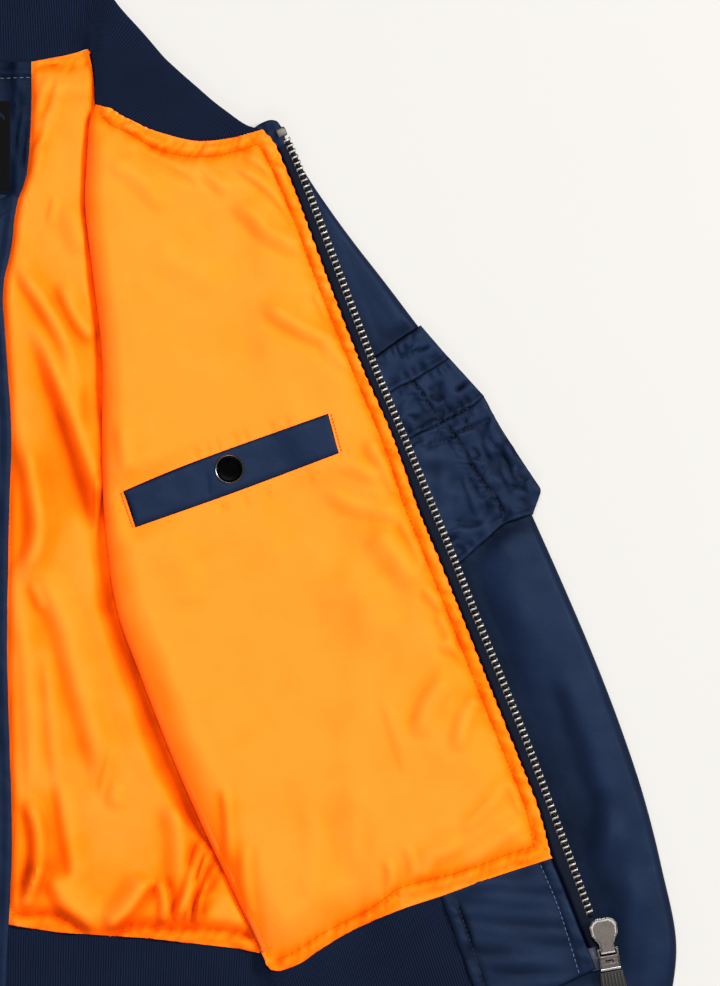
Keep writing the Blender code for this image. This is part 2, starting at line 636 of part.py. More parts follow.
def utility_pocket(shell):
    """Three pieces on the left sleeve's upper wall."""
    level = lambda x, y: POCKET_Z
    top = np.array(PEN_BAND_TOP, float)
    mouth = smooth_curve(POCKET_MOUTH, 5)
    plan = patch(spaced((top[0], mouth[0]), 3), spaced((top[-1], mouth[-1]), 3), spaced(top, 5), mouth)
    cloth("pen_band", [raised(plan, level)], LINING, 1, shell)

    mouth = offset_curve(mouth, -SEAM_GAP)
    seam = smooth_curve(POCKET_SEAM, 5)
    plan = patch(spaced((mouth[0], seam[0]), 3), spaced((mouth[-1], seam[-1]), 3), mouth, seam)
    cloth("utility_pocket_top", [raised(plan, level)], 1.5, 1, shell)

    seam = offset_curve(seam, -SEAM_GAP)
    outer = smooth_curve((seam[-1], *POCKET_OUTER[1:]), 7)
    foot = smooth_curve(POCKET_HEM, 5)
    plan = patch(spaced((seam[0], foot[0]), 7), outer, seam, foot)
    cloth("utility_pocket_body", [raised(plan, level)], 2.0, 1, shell)


def inner_pocket(shell, metal, black):
    corners = np.array(WELT_CORNERS, float)
    height = lambda x, y: turned_lining_height(x, y) + LINING + 2 * GAP
    ends = spaced(corners[:2], 3), spaced(corners[:1:-1], 3)
    sides = spaced(corners[[0, 3]], 7), spaced(corners[[1, 2]], 7)
    plan = patch(*ends, *sides)
    cloth("inner_welt", [raised(plan, height)], TRIM, 1, shell)

    x, y = SNAP_CENTRE
    base = height(x, y) + TRIM + GAP
    ring = [(base, 8.6), (base, SNAP_RADIUS), (base + 1.2, SNAP_RADIUS), (base + 1.7, 9.3), (base + 1.2, 8.6)]
    disc = [(base, 0), (base, 8.3), (base + 1.1, 8.3), (base + 1.9, 7), (base + 2.0, 0)]
    turned("snap_ring", ring, (x, y), metal)
    turned("snap_cap", disc, (x, y), black)


def turned(name, profile, centre, material, steps=32):
    """A solid turned about a vertical axis, from a closed profile of (height, radius)."""
    mesh = bmesh.new()
    points = [mesh.verts.new(Vector((radius, 0, z)) * MM) for z, radius in profile]
    loop = points if profile[0][1] == 0 else points + points[:1]
    edges = [mesh.edges.new(pair) for pair in zip(loop, loop[1:])]
    spin = {"angle": 2 * math.pi, "steps": steps, "axis": (0, 0, 1), "cent": (0, 0, 0)}
    bmesh.ops.spin(mesh, geom=points + edges, **spin)
    bmesh.ops.remove_doubles(mesh, verts=mesh.verts, dist=0.01 * MM)
    bmesh.ops.recalc_face_normals(mesh, faces=mesh.faces)
    data = bpy.data.meshes.new(name)
    mesh.to_mesh(data)
    mesh.free()
    new_object(name, data, material).location = (centre[0] * MM, centre[1] * MM, 0)


def strip(name, inner, outer, height, thickness, material):
    plan = np.stack([inner, outer], axis=1)
    cloth(name, [raised(plan, height)], thickness, 1, material)


def zip_halves(tape, metal):
    line = smooth_curve(TEETH_LINE, 26)
    half_bar = 2.3
    left_of, right_of = offset_curve(line, -half_bar), offset_curve(line, half_bar)
    strip("left_zip_teeth", left_of, right_of, lambda x, y: rest_height(x, y) + GAP, 3.2, metal)
    edge = smooth_curve(joined(np.array(LEFT_EDGE), np.array(LEFT_EDGE_BELOW)), 30)[1:]
    long_line = smooth_curve((*TEETH_LINE, (428, -268)), 30)[1:]
    inner = offset_curve(edge, SEAM_GAP)
    outer = offset_curve(long_line, -half_bar - GAP)
    tape_height = lambda x, y: rest_height(x, y) + 1.2
    strip("left_zip_tape", inner[:-2], outer[:-2], tape_height, 0.9, tape)

    neck_y, foot_y = 236, -344
    rows = 6
    for name, x0, x1, base, thickness, cloth_or_metal in (
        ("right_zip_tape", CENTRE_FRONT_X + SEAM_GAP, -half_bar - GAP, RIGHT_FRONT_Z + 0.8, 0.9, tape),
        ("right_zip_teeth", -half_bar, half_bar, RIGHT_FRONT_Z, 3.2, metal),
    ):
        low = foot_y if x0 < -half_bar else foot_y + 16
        lines = [spaced(((x, neck_y - 6), (x, low)), rows) for x in (x0, x1)]
        strip(name, *lines, lambda x, y, base=base: base, thickness, cloth_or_metal)
    pin = box_outline(-2, 2, foot_y, foot_y + 15.4)
    prism("zip_insertion_pin", pin, RIGHT_FRONT_Z, RIGHT_FRONT_Z + 3, metal)
    stop = box_outline(-3, 3, neck_y - 5.7, neck_y - 0.5)
    prism("right_top_stop", stop, RIGHT_FRONT_Z, RIGHT_FRONT_Z + 3.6, metal)

    x, y = TEETH_LINE[0]
    z = rest_height(x, y) + GAP
    place = Matrix.Translation((x * MM, (y + 3.6) * MM, z * MM)) @ Matrix.Rotation(math.radians(24), 4, "Z")
    prism("left_top_stop", box_outline(-3, 3, -2.8, 2.8), 0, 3.6, metal, place)


def slider(metal, dark, rubber):
    """The slider and, on a hinge across it, the pull: a connector and a ribbed tab."""
    x, y = SLIDER_CENTRE
    base = rest_height(x, y) + GAP
    place = Matrix.Translation((x * MM, y * MM, base * MM)) @ Matrix.Rotation(SLIDER_TURN, 4, "Z")
    body = prism("zip_slider", outline_from(SLIDER_OUTLINE), 0, SLIDER_HEIGHT, metal, place)
    for side in (-1, 1):
        lean = Matrix.Translation((side * 3.3 * MM, 0, 0)) @ Matrix.Rotation(side * CHANNEL_LEAN, 4, "Z")
        channel = box_outline(-2.4, 2.4, -20, 20)
        low, high = SLIDER_PLATE, SLIDER_HEIGHT - SLIDER_PLATE
        boolean(body, prism("slider_channel", channel, low, high, metal, place @ lean), "DIFFERENCE")
    reach = SLIDER_HEIGHT - 0.5, BRIDGE_Z[0] + 0.5
    post = prism("slider_post", box_outline(-3.6, 3.6, 1.5, 8.5), *reach, metal, place)
    foot = prism("slider_foot", box_outline(-3.4, 3.4, -11.9, -10.5), *reach, metal, place)
    bridge = prism("slider_bridge", outline_from(BRIDGE_OUTLINE), *BRIDGE_Z, metal, place)
    for piece in (post, foot, bridge):
        boolean(body, piece, "UNION")

    box = box_outline(-4, 4, -22.5, -13)
    prism("zip_retaining_box", box, 0, 3.8, metal, place)

    hinge = bpy.data.objects.new("pull_hinge", None)
    hinge.empty_display_size = 0.01
    bpy.context.scene.collection.objects.link(hinge)
    slope = Matrix.Rotation(PULL_SLOPE, 4, "X")
    hinge.matrix_world = place @ Matrix.Translation((0, PIVOT_Y * MM, PIVOT_Z * MM)) @ slope
    inner, outer = CONNECTOR_HALF
    half = CONNECTOR / 2
    bar = box_outline(-outer, outer, CONNECTOR_END - PIVOT_Y, half)
    connector = prism("pull_connector", bar, -half, half, dark)
    window = prism("connector_window", box_outline(-inner, inner, -4.6, -half), -2, 2, dark)
    slot = prism("connector_slot", box_outline(-2.6, 2.6, -9.6, -7.4), -2, 2, dark)
    tab_rows = [(row_y - PIVOT_Y, half_width) for row_y, half_width in TAB_OUTLINE]
    tab = prism("pull_tab", outline_from(tab_rows), -TAB / 2, TAB / 2, rubber)
    for piece in (connector, window, slot, tab):
        piece.parent = hinge
    boolean(connector, window, "DIFFERENCE")
    boolean(connector, slot, "DIFFERENCE")


def main():
    for obj in list(bpy.data.objects):
        bpy.data.objects.remove(obj)
    shell = make_material("navy_nylon", NAVY, 0.42)
    orange = make_material("orange_satin", ORANGE, 0.38)
    rib = make_material("navy_rib", RIB_NAVY, 0.85)
    black = make_material("black_label", BLACK, 0.7)
    tape = make_material("zip_tape", RIB_NAVY, 0.7)
    metal = make_material("antique_metal", METAL, 0.35, 1.0)
    dark_metal = make_material("dark_metal", METAL, 0.45, 1.0)
    gloss = make_material("gloss_black", BLACK, 0.12)
    rubber = make_material("pull_rubber", GUNMETAL, 0.5)

    back(shell, orange, shell, black)
    left_front(shell, orange)
    right_front(shell, shell)
    collar(rib)
    hem(rib, shell)
    sleeves(shell, rib)
    utility_pocket(shell)
    inner_pocket(shell, metal, gloss)
    zip_halves(tape, metal)
    slider(metal, dark_metal, rubber)


main()
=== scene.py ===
"""Looks of a nylon flight bomber jacket that lies flat on its back with its left front folded open.

Lengths in the tables are millimetres in the frame's axes: +X is the wearer's left, +Y is toward the collar
and +Z is up. Tables named with PX are in pixels of the photograph, and photo() turns them into millimetres.
"""

import math

import bmesh
import bpy
import numpy as np
from mathutils import Matrix, Vector
from mathutils.bvhtree import BVHTree


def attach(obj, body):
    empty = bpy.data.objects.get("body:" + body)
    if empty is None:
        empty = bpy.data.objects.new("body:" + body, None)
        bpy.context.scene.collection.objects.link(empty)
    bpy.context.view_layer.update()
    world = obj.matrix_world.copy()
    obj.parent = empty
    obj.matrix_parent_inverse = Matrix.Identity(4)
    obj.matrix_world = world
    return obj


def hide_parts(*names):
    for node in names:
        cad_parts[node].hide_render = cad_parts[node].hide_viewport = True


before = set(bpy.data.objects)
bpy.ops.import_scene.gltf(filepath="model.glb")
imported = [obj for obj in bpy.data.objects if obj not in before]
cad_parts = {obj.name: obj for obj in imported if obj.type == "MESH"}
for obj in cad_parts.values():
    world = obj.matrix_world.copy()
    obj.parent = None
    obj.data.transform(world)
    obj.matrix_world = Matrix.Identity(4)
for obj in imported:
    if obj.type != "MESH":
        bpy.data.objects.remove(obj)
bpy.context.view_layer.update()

MM = 0.001
PIXEL = 0.66
ORIGIN_PX = (-40, 560)  # where the frame's origin is in the photograph
GARMENT = "garment"
PULL = "zip_pull"

# ---------------------------------------------------------------- the cut, as in the solids

GAP = 0.3
SEAM_GAP = 0.6
SEAM_TUCK = 1.3  # how far a sleeve's side goes in between the body's two layers
SEAM_LAP_OVER = 1.1  # how far two rims that are sewn together overlap
SEAM_LAP = -1.2  # the sewn edges of ribs and plackets run under the panel beside them
SHELL = 2.5
LINING = 1.2
RIB = 2.5
TRIM = 0.8
LABEL = 0.4
LINING_Z = SHELL + GAP
SEAM_Z = LINING_Z
FACING_Z = LINING_Z + LINING + GAP
LABEL_Z = FACING_Z + TRIM + GAP
FLAP_Z = LABEL_Z
LEFT_FRONT_Z = FACING_Z
RIGHT_FRONT_Z = FLAP_Z + LINING + GAP
SEAM_RAMP = 16
SLEEVE_HOLLOW = 3.5
SLEEVE_TOP = 2 * SHELL + SLEEVE_HOLLOW
POCKET_Z = SLEEVE_TOP + GAP
POCKET_FLAP = 1.5
POCKET_BODY = 2.0
POCKET_TOP = POCKET_Z + POCKET_BODY + GAP
CUFF_HOLLOW = 1.2

NECK_HALF = ((0, 325), (24, 326), (47, 329), (68, 333), (85, 337))
SHOULDER_POINT = (218, 271)
ARMHOLE = (SHOULDER_POINT, (213, 218), (214, 158), (224, 106), (248, 65), (280, 36))
SIDE_SEAM = ((280, 36), (276, -40), (263, -119), (242, -198), (220, -244), (207, -262))
BACK_HEM_HALF = ((0, -241), (32, -241), (64, -246), (125, -250), (185, -257), (207, -262))
FRONT_HEM = ((-207, -262), (-150, -266), (-8, -266))
RIGHT_NECK = ((-85, 337), (-84, 320), (-79, 297), (-67, 274), (-48, 255), (-26, 243), (-8, 238))
CENTRE_FRONT_X = -8
RIB_DEPTH = 80
COLLAR_DEPTH = 54
LINING_INSET = 23
PLACKET_WIDTH = 78
FOLD_LINE = (
    (90, 301), (86, 290), (84, 263), (83, 233), (88, 188), (94, 134), (94, 65), (97, 13), (104, -33),
    (119, -75), (140, -129), (161, -177), (178, -213), (195, -249), (199, -258),
)  # fmt: skip
LEFT_NECK = ((90, 301), (103, 292), (117, 285), (131, 280), (156, 275), (180, 278), (199, 284))
LEFT_EDGE = (
    (199, 284), (207, 275), (215, 257), (223, 237), (231, 215), (244, 180), (264, 129), (285, 81),
    (302, 33), (323, -18), (350, -86), (373, -143), (382, -167), (390, -197),
)  # fmt: skip
LEFT_EDGE_BELOW = ((390, -197), (398, -216), (409, -244), (420, -270))
LEFT_HEM = ((199, -258), (206, -271), (223, -267), (238, -257), (260, -244), (290, -231), (317, -222))
LEFT_HEM_PLACKET = ((317, -222), (350, -210), (390, -197))
PLACKET_INNER = ((317, -222), (331, -260), (345, -299))
PLACKET_BOTTOM = ((345, -299), (375, -289), (400, -279), (420, -270))
TEETH_LINE = (
    (214, 281), (225, 256), (247, 198), (270, 137), (281, 110), (294, 79), (310, 40), (327, -2),
    (341, -38), (372, -115), (400, -190), (416, -234),
)  # fmt: skip
TEETH_LINE_END = (428, -268)
SLEEVE_OUTER = (
    SHOULDER_POINT, (228, 255), (259, 211), (287, 175), (320, 131), (342, 104), (360, 73), (375, 36),
    (395, -9), (418, -63), (444, -132), (459, -185), (469, -231), (474, -270), (467, -305),
)  # fmt: skip
SLEEVE_INNER = (
    (281, 35), (279, -40), (267, -119), (273, -158), (289, -205), (307, -244), (329, -280), (363, -323),
)  # fmt: skip
CUFF_DEPTH = 65
CUFF_WIDTH = 92
COLLAR_RIGHT_EDGE = (
    (-63, 379), (-51, 356), (-41, 333), (-32, 312), (-21, 290), (-13, 266), (-8, 252), (-3, 240),
)  # fmt: skip
COLLAR_LEFT_EDGE = (
    (134.5, 332), (147, 320.5), (158, 311), (167, 303), (175, 297), (183, 291), (190, 286.5), (196, 285),
)  # fmt: skip
RIB_LEFT_EDGE = ((214, -345), (236, -350), (260, -341), (280, -327), (317, -309), (344, -300))
BACK_FACING = ((47, 329), (47, 303), (46, 277), (44, 255), (40, 242), (32, 230), (17, 222), (0, 219))
LABEL_SIZE = (66, 59)
LABEL_TOP = 303
WIND_FLAP_INNER_X = -20
WIND_FLAP_TOP = ((-20, 243), (6, 243), (28, 242), (38.5, 240))
WIND_FLAP_EDGE = (
    (38.5, 240), (35.6, 224), (34.3, 211), (32, 198), (29, 185), (28, 171), (29, 158), (31.7, 119),
    (33.7, 79), (32, 20), (31, -67), (34, -172), (33, -221), (30, -281), (30, -338),
)  # fmt: skip
PEN_BAND_TOP = ((262, 128), (276, 136), (290, 146), (304, 155))
POCKET_MOUTH = ((274, 103), (289, 114), (298, 118), (313, 127), (323, 133))
POCKET_SEAM = ((288, 74), (300, 82), (312, 87), (319, 91), (336, 100), (346, 108))
POCKET_HEM = ((316, -13), (331, -1), (349, 15), (360, 24), (378, 30))
POCKET_OUTER = ((346, 108), (356, 89), (372, 64), (381, 50.5), (383.2, 46.5), (382.4, 42), (378, 30))
WELT_CORNERS = ((108, 45), (116, 22), (250, 71), (243, 96))
SNAP_CENTRE = (178, 60)
SLIDER_CENTRE = (425.5, -247.5)
SLIDER_TURN = math.radians(10)
SLIDER_OUTLINE = ((11, 3.8), (9.6, 6.2), (6.8, 8.4), (1, 7.9), (-6, 4.8), (-12, 4.4))
BRIDGE_OUTLINE = ((11.6, 4.2), (10.2, 7), (7, 9.2), (1, 8.7), (-5, 4.9), (-11.8, 4.6))
SLIDER_HEIGHT = 6.2
SLIDER_PLATE = 1.3
BRIDGE_Z = (8.1, 9.3)
PIVOT_Y = -9
PIVOT_Z = 7.25
PULL_SLOPE = math.radians(5.5)
CONNECTOR = 1.2
CONNECTOR_HALF = (5.4, 6.9)
CONNECTOR_END = -23.5
TAB_OUTLINE = ((-24, 7.6), (-36, 8.6), (-52, 9.2), (-57, 8.6), (-60, 6.4), (-61.5, 3))
TAB = 2.4

# ---------------------------------------------------------------- folds, from the photograph

# Folds: height of the step up to the line's left, depth of the crease at its foot, half width of the step,
# how far the fold takes to die away behind it, and the line. The last three are in pixels. Where a line runs
# down the photo, its left is the photo's right.
BACK_FOLDS_PX = (
    (1.2, 0.3, 3.5, 10, ((57, 70), (54, 88), (47, 112), (40, 132), (34, 155), (29, 178))),
    (0.9, 0.4, 3, 8, ((47, 66), (43, 80), (37, 100), (32, 118))),
    (0.8, 0.4, 2.5, 6, ((46, 110), (38, 121), (30, 127))),
    (0.8, 0.4, 2.5, 6, ((43, 133), (36, 146), (30, 155))),
    (0.7, 0.3, 2.5, 6, ((41, 150), (35, 165), (29, 176))),
    (0.7, 0.2, 3, 8, ((52, 196), (49, 212), (46, 226))),
    (1.2, 0.1, 10, 16, ((58, 205), (66, 232), (78, 258))),
    (2.4, 0.6, 6, 12, ((55, 280), (62, 300), (70, 318), (80, 332), (95, 347))),
    (3.0, 0.8, 6.5, 13, ((12, 258), (22, 282), (36, 303), (50, 326), (61, 350), (70, 378), (76, 402),
                         (81, 424))),
    (6.0, 1.2, 9, 18, ((24, 318), (38, 348), (50, 378), (60, 404), (70, 432), (79, 462), (88, 492),
                       (97, 522), (106, 558), (118, 600), (132, 650))),
    (4.5, 0.8, 8, 16, ((14, 432), (21, 462), (26, 492), (30, 520), (28, 545), (20, 562), (10, 578))),
    (3.2, 0.5, 10, 24, ((20, 570), (36, 588), (48, 612), (58, 640), (66, 672), (75, 705), (84, 738),
                        (92, 766), (98, 790))),
    (1.4, 0.3, 4, 7, ((26, 582), (33, 597), (40, 614))),
    (1.0, 0.2, 5, 12, ((41, 648), (45, 700), (49, 750), (54, 792))),
    (2.2, 0.5, 6, 14, ((53, 776), (58, 805), (62, 832), (67, 858), (73, 890))),
    (0.8, 0.5, 2.2, 5, ((109, 750), (104, 768), (100, 784), (97, 797))),
    (1.3, 0.2, 6, 10, ((114, 780), (108, 796), (114, 810))),
    (1.3, 0.2, 6, 14, ((13, 590), (17, 640), (21, 680), (24, 720), (25, 760), (24, 806))),
    (4.5, 1.0, 6, 14, ((20, 796), (29, 820), (33, 845), (31, 868), (22, 900))),
    (2.6, 0.4, 10, 12, ((160, 796), (168, 828), (171, 860), (174, 890), (168, 922))),
    (3.4, 0.7, 8, 30, ((45, 868), (51, 890), (62, 909), (77, 923), (98, 936))),
    (4.6, 1.2, 5.5, 24, ((106, 937), (122, 923), (138, 903), (156, 876))),
    (3.0, 0.8, 5, 10, ((38, 858), (28, 885), (18, 910))),
    (3.5, 1.0, 4, 10, ((168, 930), (169, 905), (166, 887), (158, 873))),
    (3.5, 0.8, 4.5, 5, ((205, 830), (192, 862), (184, 890), (170, 926))),
    (3.4, 1.2, 4, 5, ((188, 930), (194, 900), (204, 876), (214, 846))),
    (2.6, 0.6, 2.6, 5, ((216, 854), (203, 884), (196, 905), (192, 930))),
    (2.2, 0.7, 3, 7, ((199, 930), (202, 903), (210, 885), (221, 864))),
    (1.2, 0.5, 3.5, 6, ((199, 915), (206, 903), (216, 896))),
    (2.0, 0.3, 3, 4, ((226, 872), (236, 896), (247, 922))),
)  # fmt: skip
FRONT_FOLDS_PX = (
    (1.0, 0.2, 8, 14, ((102, 165), (124, 177), (140, 190), (152, 204), (168, 217))),
    (1.6, 0.4, 5, 9, ((128, 140), (150, 156), (166, 165), (182, 173), (204, 188))),
    (1.4, 0.3, 6, 10, ((178, 157), (196, 170), (208, 180), (227, 198))),
    (0.9, 0.1, 12, 20, ((142, 253), (165, 268), (186, 282), (216, 302))),
    (1.6, 0.4, 5, 8, ((236, 155), (262, 170), (280, 190), (292, 206))),
    (1.6, 0.4, 4.5, 8, ((227, 166), (255, 182), (275, 200), (292, 222), (304, 244))),
    (1.8, 0.3, 8, 12, ((224, 203), (248, 221), (262, 236), (280, 246), (308, 262))),
    (1.6, 0.3, 6, 6, ((298, 240), (307, 262), (314, 280), (322, 300))),
    (1.5, 0.3, 5, 6, ((311, 290), (319, 306), (328, 324))),
    (2.0, 0.4, 7, 12, ((256, 307), (280, 322), (302, 335), (324, 345), (344, 355))),
    (0.9, 0.2, 6, 8, ((314, 349), (336, 362), (354, 376))),
    (2.3, 0.4, 7, 8, ((362, 435), (371, 455), (382, 470), (392, 488), (402, 504))),
    (1.1, 0.2, 7, 10, ((318, 458), (345, 470), (366, 478), (386, 484))),
    (1.2, 0.2, 7, 10, ((318, 494), (348, 510), (376, 517), (406, 520))),
    (2.2, 0.3, 12, 18, ((363, 530), (378, 552), (391, 568), (401, 580), (424, 589))),
    (2.0, 0.4, 6, 6, ((396, 519), (408, 540), (416, 556), (422, 574))),
    (1.6, 0.4, 5, 6, ((419, 588), (432, 602), (443, 617))),
    (1.6, 0.4, 5, 6, ((434, 613), (444, 632), (452, 649))),
    (1.6, 0.4, 5, 6, ((435, 644), (456, 655), (468, 670))),
    (2.0, 0.3, 8, 16, ((449, 669), (433, 682), (422, 700), (416, 716), (410, 738))),
    (1.8, 0.3, 7, 12, ((479, 691), (466, 703), (460, 716), (455, 731), (449, 752))),
    (0.8, 0.2, 4, 7, ((463, 699), (474, 706), (485, 710))),
    (1.6, 0.2, 8, 8, ((483, 704), (490, 728), (498, 750))),
    (1.1, 0.3, 5, 10, ((509, 769), (496, 789), (485, 802), (472, 815), (455, 830))),
    (1.6, 0.3, 5, 6, ((504, 778), (512, 796), (520, 816))),
    (1.1, 0.3, 5, 10, ((526, 816), (506, 828), (490, 840), (475, 850), (455, 864))),
    (1.7, 0.3, 8, 12, ((462, 834), (440, 845), (426, 852), (418, 864), (410, 884))),
    (1.4, 0.4, 4, 7, ((383, 859), (388, 878), (385, 899))),
    (1.0, 0.2, 4, 7, ((403, 845), (409, 868), (403, 887))),
    (1.3, 0.0, 22, 30, ((318, 580), (346, 620), (386, 660))),
    (0.6, 0.1, 4, 20, ((378, 695), (392, 738), (404, 778))),
    (1.2, 0.2, 6, 14, ((115, 424), (120, 450), (122, 476))),
    (0.7, 0.1, 12, 22, ((148, 634), (158, 670), (161, 700), (172, 730), (186, 760), (198, 796))),
    (2.3, 0.5, 4, 8, ((220, 784), (224, 815), (225, 845), (222, 866))),
    (2.0, 0.4, 5, 9, ((260, 944), (252, 905), (249, 870), (250, 841))),
    (0.9, 0.0, 14, 20, ((150, 548), (172, 575), (180, 610))),
    (1.0, 0.1, 10, 14, ((300, 800), (306, 850), (304, 905))),
    (1.0, 0.1, 12, 16, ((352, 780), (340, 830), (345, 880))),
)  # fmt: skip

# Beside the fold of the left front, at rising heights y: how far the back lining lies low, and how far it
# then rises.
BESIDE_FOLD = (
    (-257, -191, -178, -145, -92, -26, 0, 25, 50, 76, 95, 115, 139, 158, 185, 218, 303),
    (0.5, 1.0, 5.0, 10.0, 9.0, 8.0, 6.5, 3.8, 0.8, 0.2, 1.2, 2.4, 2.4, 1.6, 1.8, 1.0, 1.0),
    (2.5, 3.0, 6.0, 10.0, 9.0, 8.0, 7.0, 5.0, 2.6, 2.0, 3.0, 4.0, 4.0, 3.2, 3.6, 3.2, 4.0),
)

# Seam lines that are sewn down.
FRONT_STITCH_PX = (
    (99, 112), (108, 123), (130, 134), (152, 147), (173, 154), (197, 157), (221, 155), (241, 150),
    (258, 144), (267, 160), (275, 175), (286, 201), (297, 227), (308, 258), (319, 286), (333, 322),
    (346, 354), (361, 390), (377, 427), (391, 466), (403, 501), (417, 535), (434, 577), (453, 625),
    (475, 680), (493, 725), (511, 769), (525, 805), (534, 846), (507, 854), (478, 866), (448, 875),
    (419, 882), (400, 887), (384, 899), (365, 912), (343, 923), (321, 934), (299, 949), (277, 960),
)[::-1]  # fmt: skip
BACK_STITCH_PX = (
    (6, 914), (21, 916), (50, 915), (69, 924), (91, 937), (112, 936), (133, 926), (158, 928), (181, 930),
    (198, 929), (229, 932), (252, 938),
)  # fmt: skip
FACING_CREASES_PX = (
    ((16, 82), (20, 108), (15, 140), (18, 170)), ((26, 84), (27, 118), (23, 150), (24, 178)),
    ((8, 80), (10, 92), (5, 99)), ((12, 196), (14, 210), (10, 224)), ((-70, 84), (-64, 120), (-72, 160)),
    ((-92, 84), (-98, 130), (-92, 176)),
)  # fmt: skip
TOP_STITCH_PX = ((26, 74), (34, 70), (42, 67), (55, 66), (67, 68), (78, 65), (92, 61))
FACING_STITCH_PX = ((-60, 72), (-30, 75), (0, 77), (31, 77))
PLACKET_STITCH_PX = ((540, 864), (556, 901), (567, 934), (579, 973), (588, 1000))
PLACKET_DARK_STITCH_PX = ((453, 895), (466, 928), (484, 986), (490, 1010))


# ---------------------------------------------------------------- curves


def photo(points):
    """Plan millimetres of places given in pixels of the photograph."""
    return (np.array(points, float) - ORIGIN_PX) * (PIXEL, -PIXEL)


def mirrored(points):
    return np.array(points, float) * (-1, 1)


def both_sides(half):
    """A line across the body from its left half, which starts at the middle."""
    return joined(mirrored(half[::-1]), np.array(half, float))


def closed(outline):
    return np.vstack([outline, outline[:1]])


def unit(vectors):
    return vectors / np.linalg.norm(vectors, axis=-1, keepdims=True)


def through(points, places):
    """Points of a smooth curve through points, where place 0 is the first of them and place 1 the second."""
    given = np.array(points, float)
    ends = np.vstack([2 * given[0] - given[1], given, 2 * given[-1] - given[-2]])
    span = np.clip(np.floor(places).astype(int), 0, len(given) - 2)
    t = (places - span)[:, None]
    a, b, c, d = (ends[span + k] for k in range(4))
    return b + 0.5 * t * (c - a + t * (2 * a - 5 * b + 4 * c - d + t * (3 * b - a - 3 * c + d)))


def smooth_curve(points, shares):
    """Points of a smooth curve through points, at shares of its length, or at a count of even shares."""
    dense = through(points, np.linspace(0, len(points) - 1, 12 * (len(points) - 1) + 1))
    return spaced(dense, shares)


def spaced(points, shares):
    """Points on the straight runs between points, at shares of the length."""
    line = np.array(points, float)
    if isinstance(shares, int):
        shares = np.linspace(0, 1, shares)
    run = length_along(line)
    return np.stack([np.interp(shares * run[-1], run, line[:, k]) for k in range(line.shape[1])], axis=1)


def length_along(line):
    return np.concatenate([[0], np.cumsum(np.linalg.norm(np.diff(line, axis=0), axis=1))])


def joined(*curves):
    """Curves end to end, without the point that two neighbours share."""
    return np.vstack([curves[0], *[curve[1:] for curve in curves[1:]]])


def offset_curve(points, distance):
    """The curve moved to the left of its direction by distance."""
    line = np.array(points, float)
    along = unit(np.gradient(line, axis=0))
    left = np.stack([-along[:, 1], along[:, 0]], axis=1)
    return line + left * np.reshape(distance, (-1, 1))


def stops(length, pitch, rim=1.2):
    """Shares of a length, about pitch apart, with closer ones inside both rims."""
    count = max(int(round((length - 2 * rim) / pitch)), 2)
    inner = np.linspace(rim, length - rim, count + 1)
    edge = np.array([0, 0.12, 0.42]) * rim
    return np.concatenate([edge, inner, length - edge[::-1]]) / length


def patch(left, right, top, bottom, across, down):
    """Grid of plan points inside four edges: rows from top to bottom, columns from left to right.

    across and down are the shares of the columns and rows. Each edge is a function of shares."""
    left, right, top, bottom = left(down), right(down), top(across), bottom(across)
    v, u = down[:, None, None], across[None, :, None]
    sides = (1 - u) * left[:, None] + u * right[:, None]
    ends = (1 - v) * top[None] + v * bottom[None]
    corners = (1 - v) * ((1 - u) * top[0] + u * top[-1]) + v * ((1 - u) * bottom[0] + u * bottom[-1])
    return sides + ends - corners


def strip(top, bottom, across, down, right=None):
    """Grid between a top and a bottom edge with straight sides, or with the right side as given."""
    (a, b), (c, d) = (edge(np.array((0.0, 1.0))) for edge in (top, bottom))
    return patch(straight((a, c)), right or straight((b, d)), top, bottom, across, down)


def curve(points):
    return lambda shares: smooth_curve(points, shares)


def straight(points):
    return lambda shares: spaced(points, shares)


def smooth_step(value):
    value = np.clip(value, 0, 1)
    return value * value * (3 - 2 * value)


def quarter_round(away, reach):
    """0 at an edge, rising like a quarter of a circle to 1 at reach."""
    return np.sqrt(1 - (1 - np.clip(away / reach, 0, 1)) ** 2)


def bell(away, width):
    return np.exp(-((away / width) ** 2))


def gathers(along, fine, sway, coarse, shift=0):
    """Waves between 0 and 1 along a seam, whose spacing sways."""
    return 0.5 + 0.5 * np.sin(along / fine + sway * np.sin(along / coarse + shift))


def nearest(places, line):
    """Signed distance of plan places from a line, positive to its left, and the length along it."""
    line = np.array(line, float)
    run = length_along(line)
    best = np.full(places.shape[:-1], 1e9)
    along = np.zeros(places.shape[:-1])
    for k in range(len(line) - 1):
        step = line[k + 1] - line[k]
        size = max(float(step @ step), 1e-9)
        away = places - line[k]
        share = np.clip((away @ step) / size, 0, 1)
        distance = np.linalg.norm(away - share[..., None] * step, axis=-1)
        side = np.where(step[0] * away[..., 1] - step[1] * away[..., 0] < 0, -1, 1)
        closer = distance < np.abs(best)
        best = np.where(closer, distance * side, best)
        along = np.where(closer, run[k] + share * math.sqrt(size), along)
    return best, along


def away_from(places, line):
    return np.abs(nearest(places, line)[0])


def x_on(line, y):
    """Where a line that runs down the body is at heights y."""
    line = np.array(line, float)[::-1]
    return np.interp(y, line[:, 1], line[:, 0])


def at_height(plan, z):
    return np.concatenate([plan, np.broadcast_to(z, plan.shape[:-1])[..., None]], axis=-1)


def inside(places, outline):
    crossings = np.zeros(places.shape[:-1], int)
    for a, b in zip(outline, np.roll(outline, -1, axis=0)):
        rise = b[1] - a[1] if b[1] != a[1] else 1
        crosses = (a[1] > places[..., 1]) != (b[1] > places[..., 1])
        crossings += crosses & (places[..., 0] < a[0] + (places[..., 1] - a[1]) * (b[0] - a[0]) / rise)
    return crossings % 2 == 1


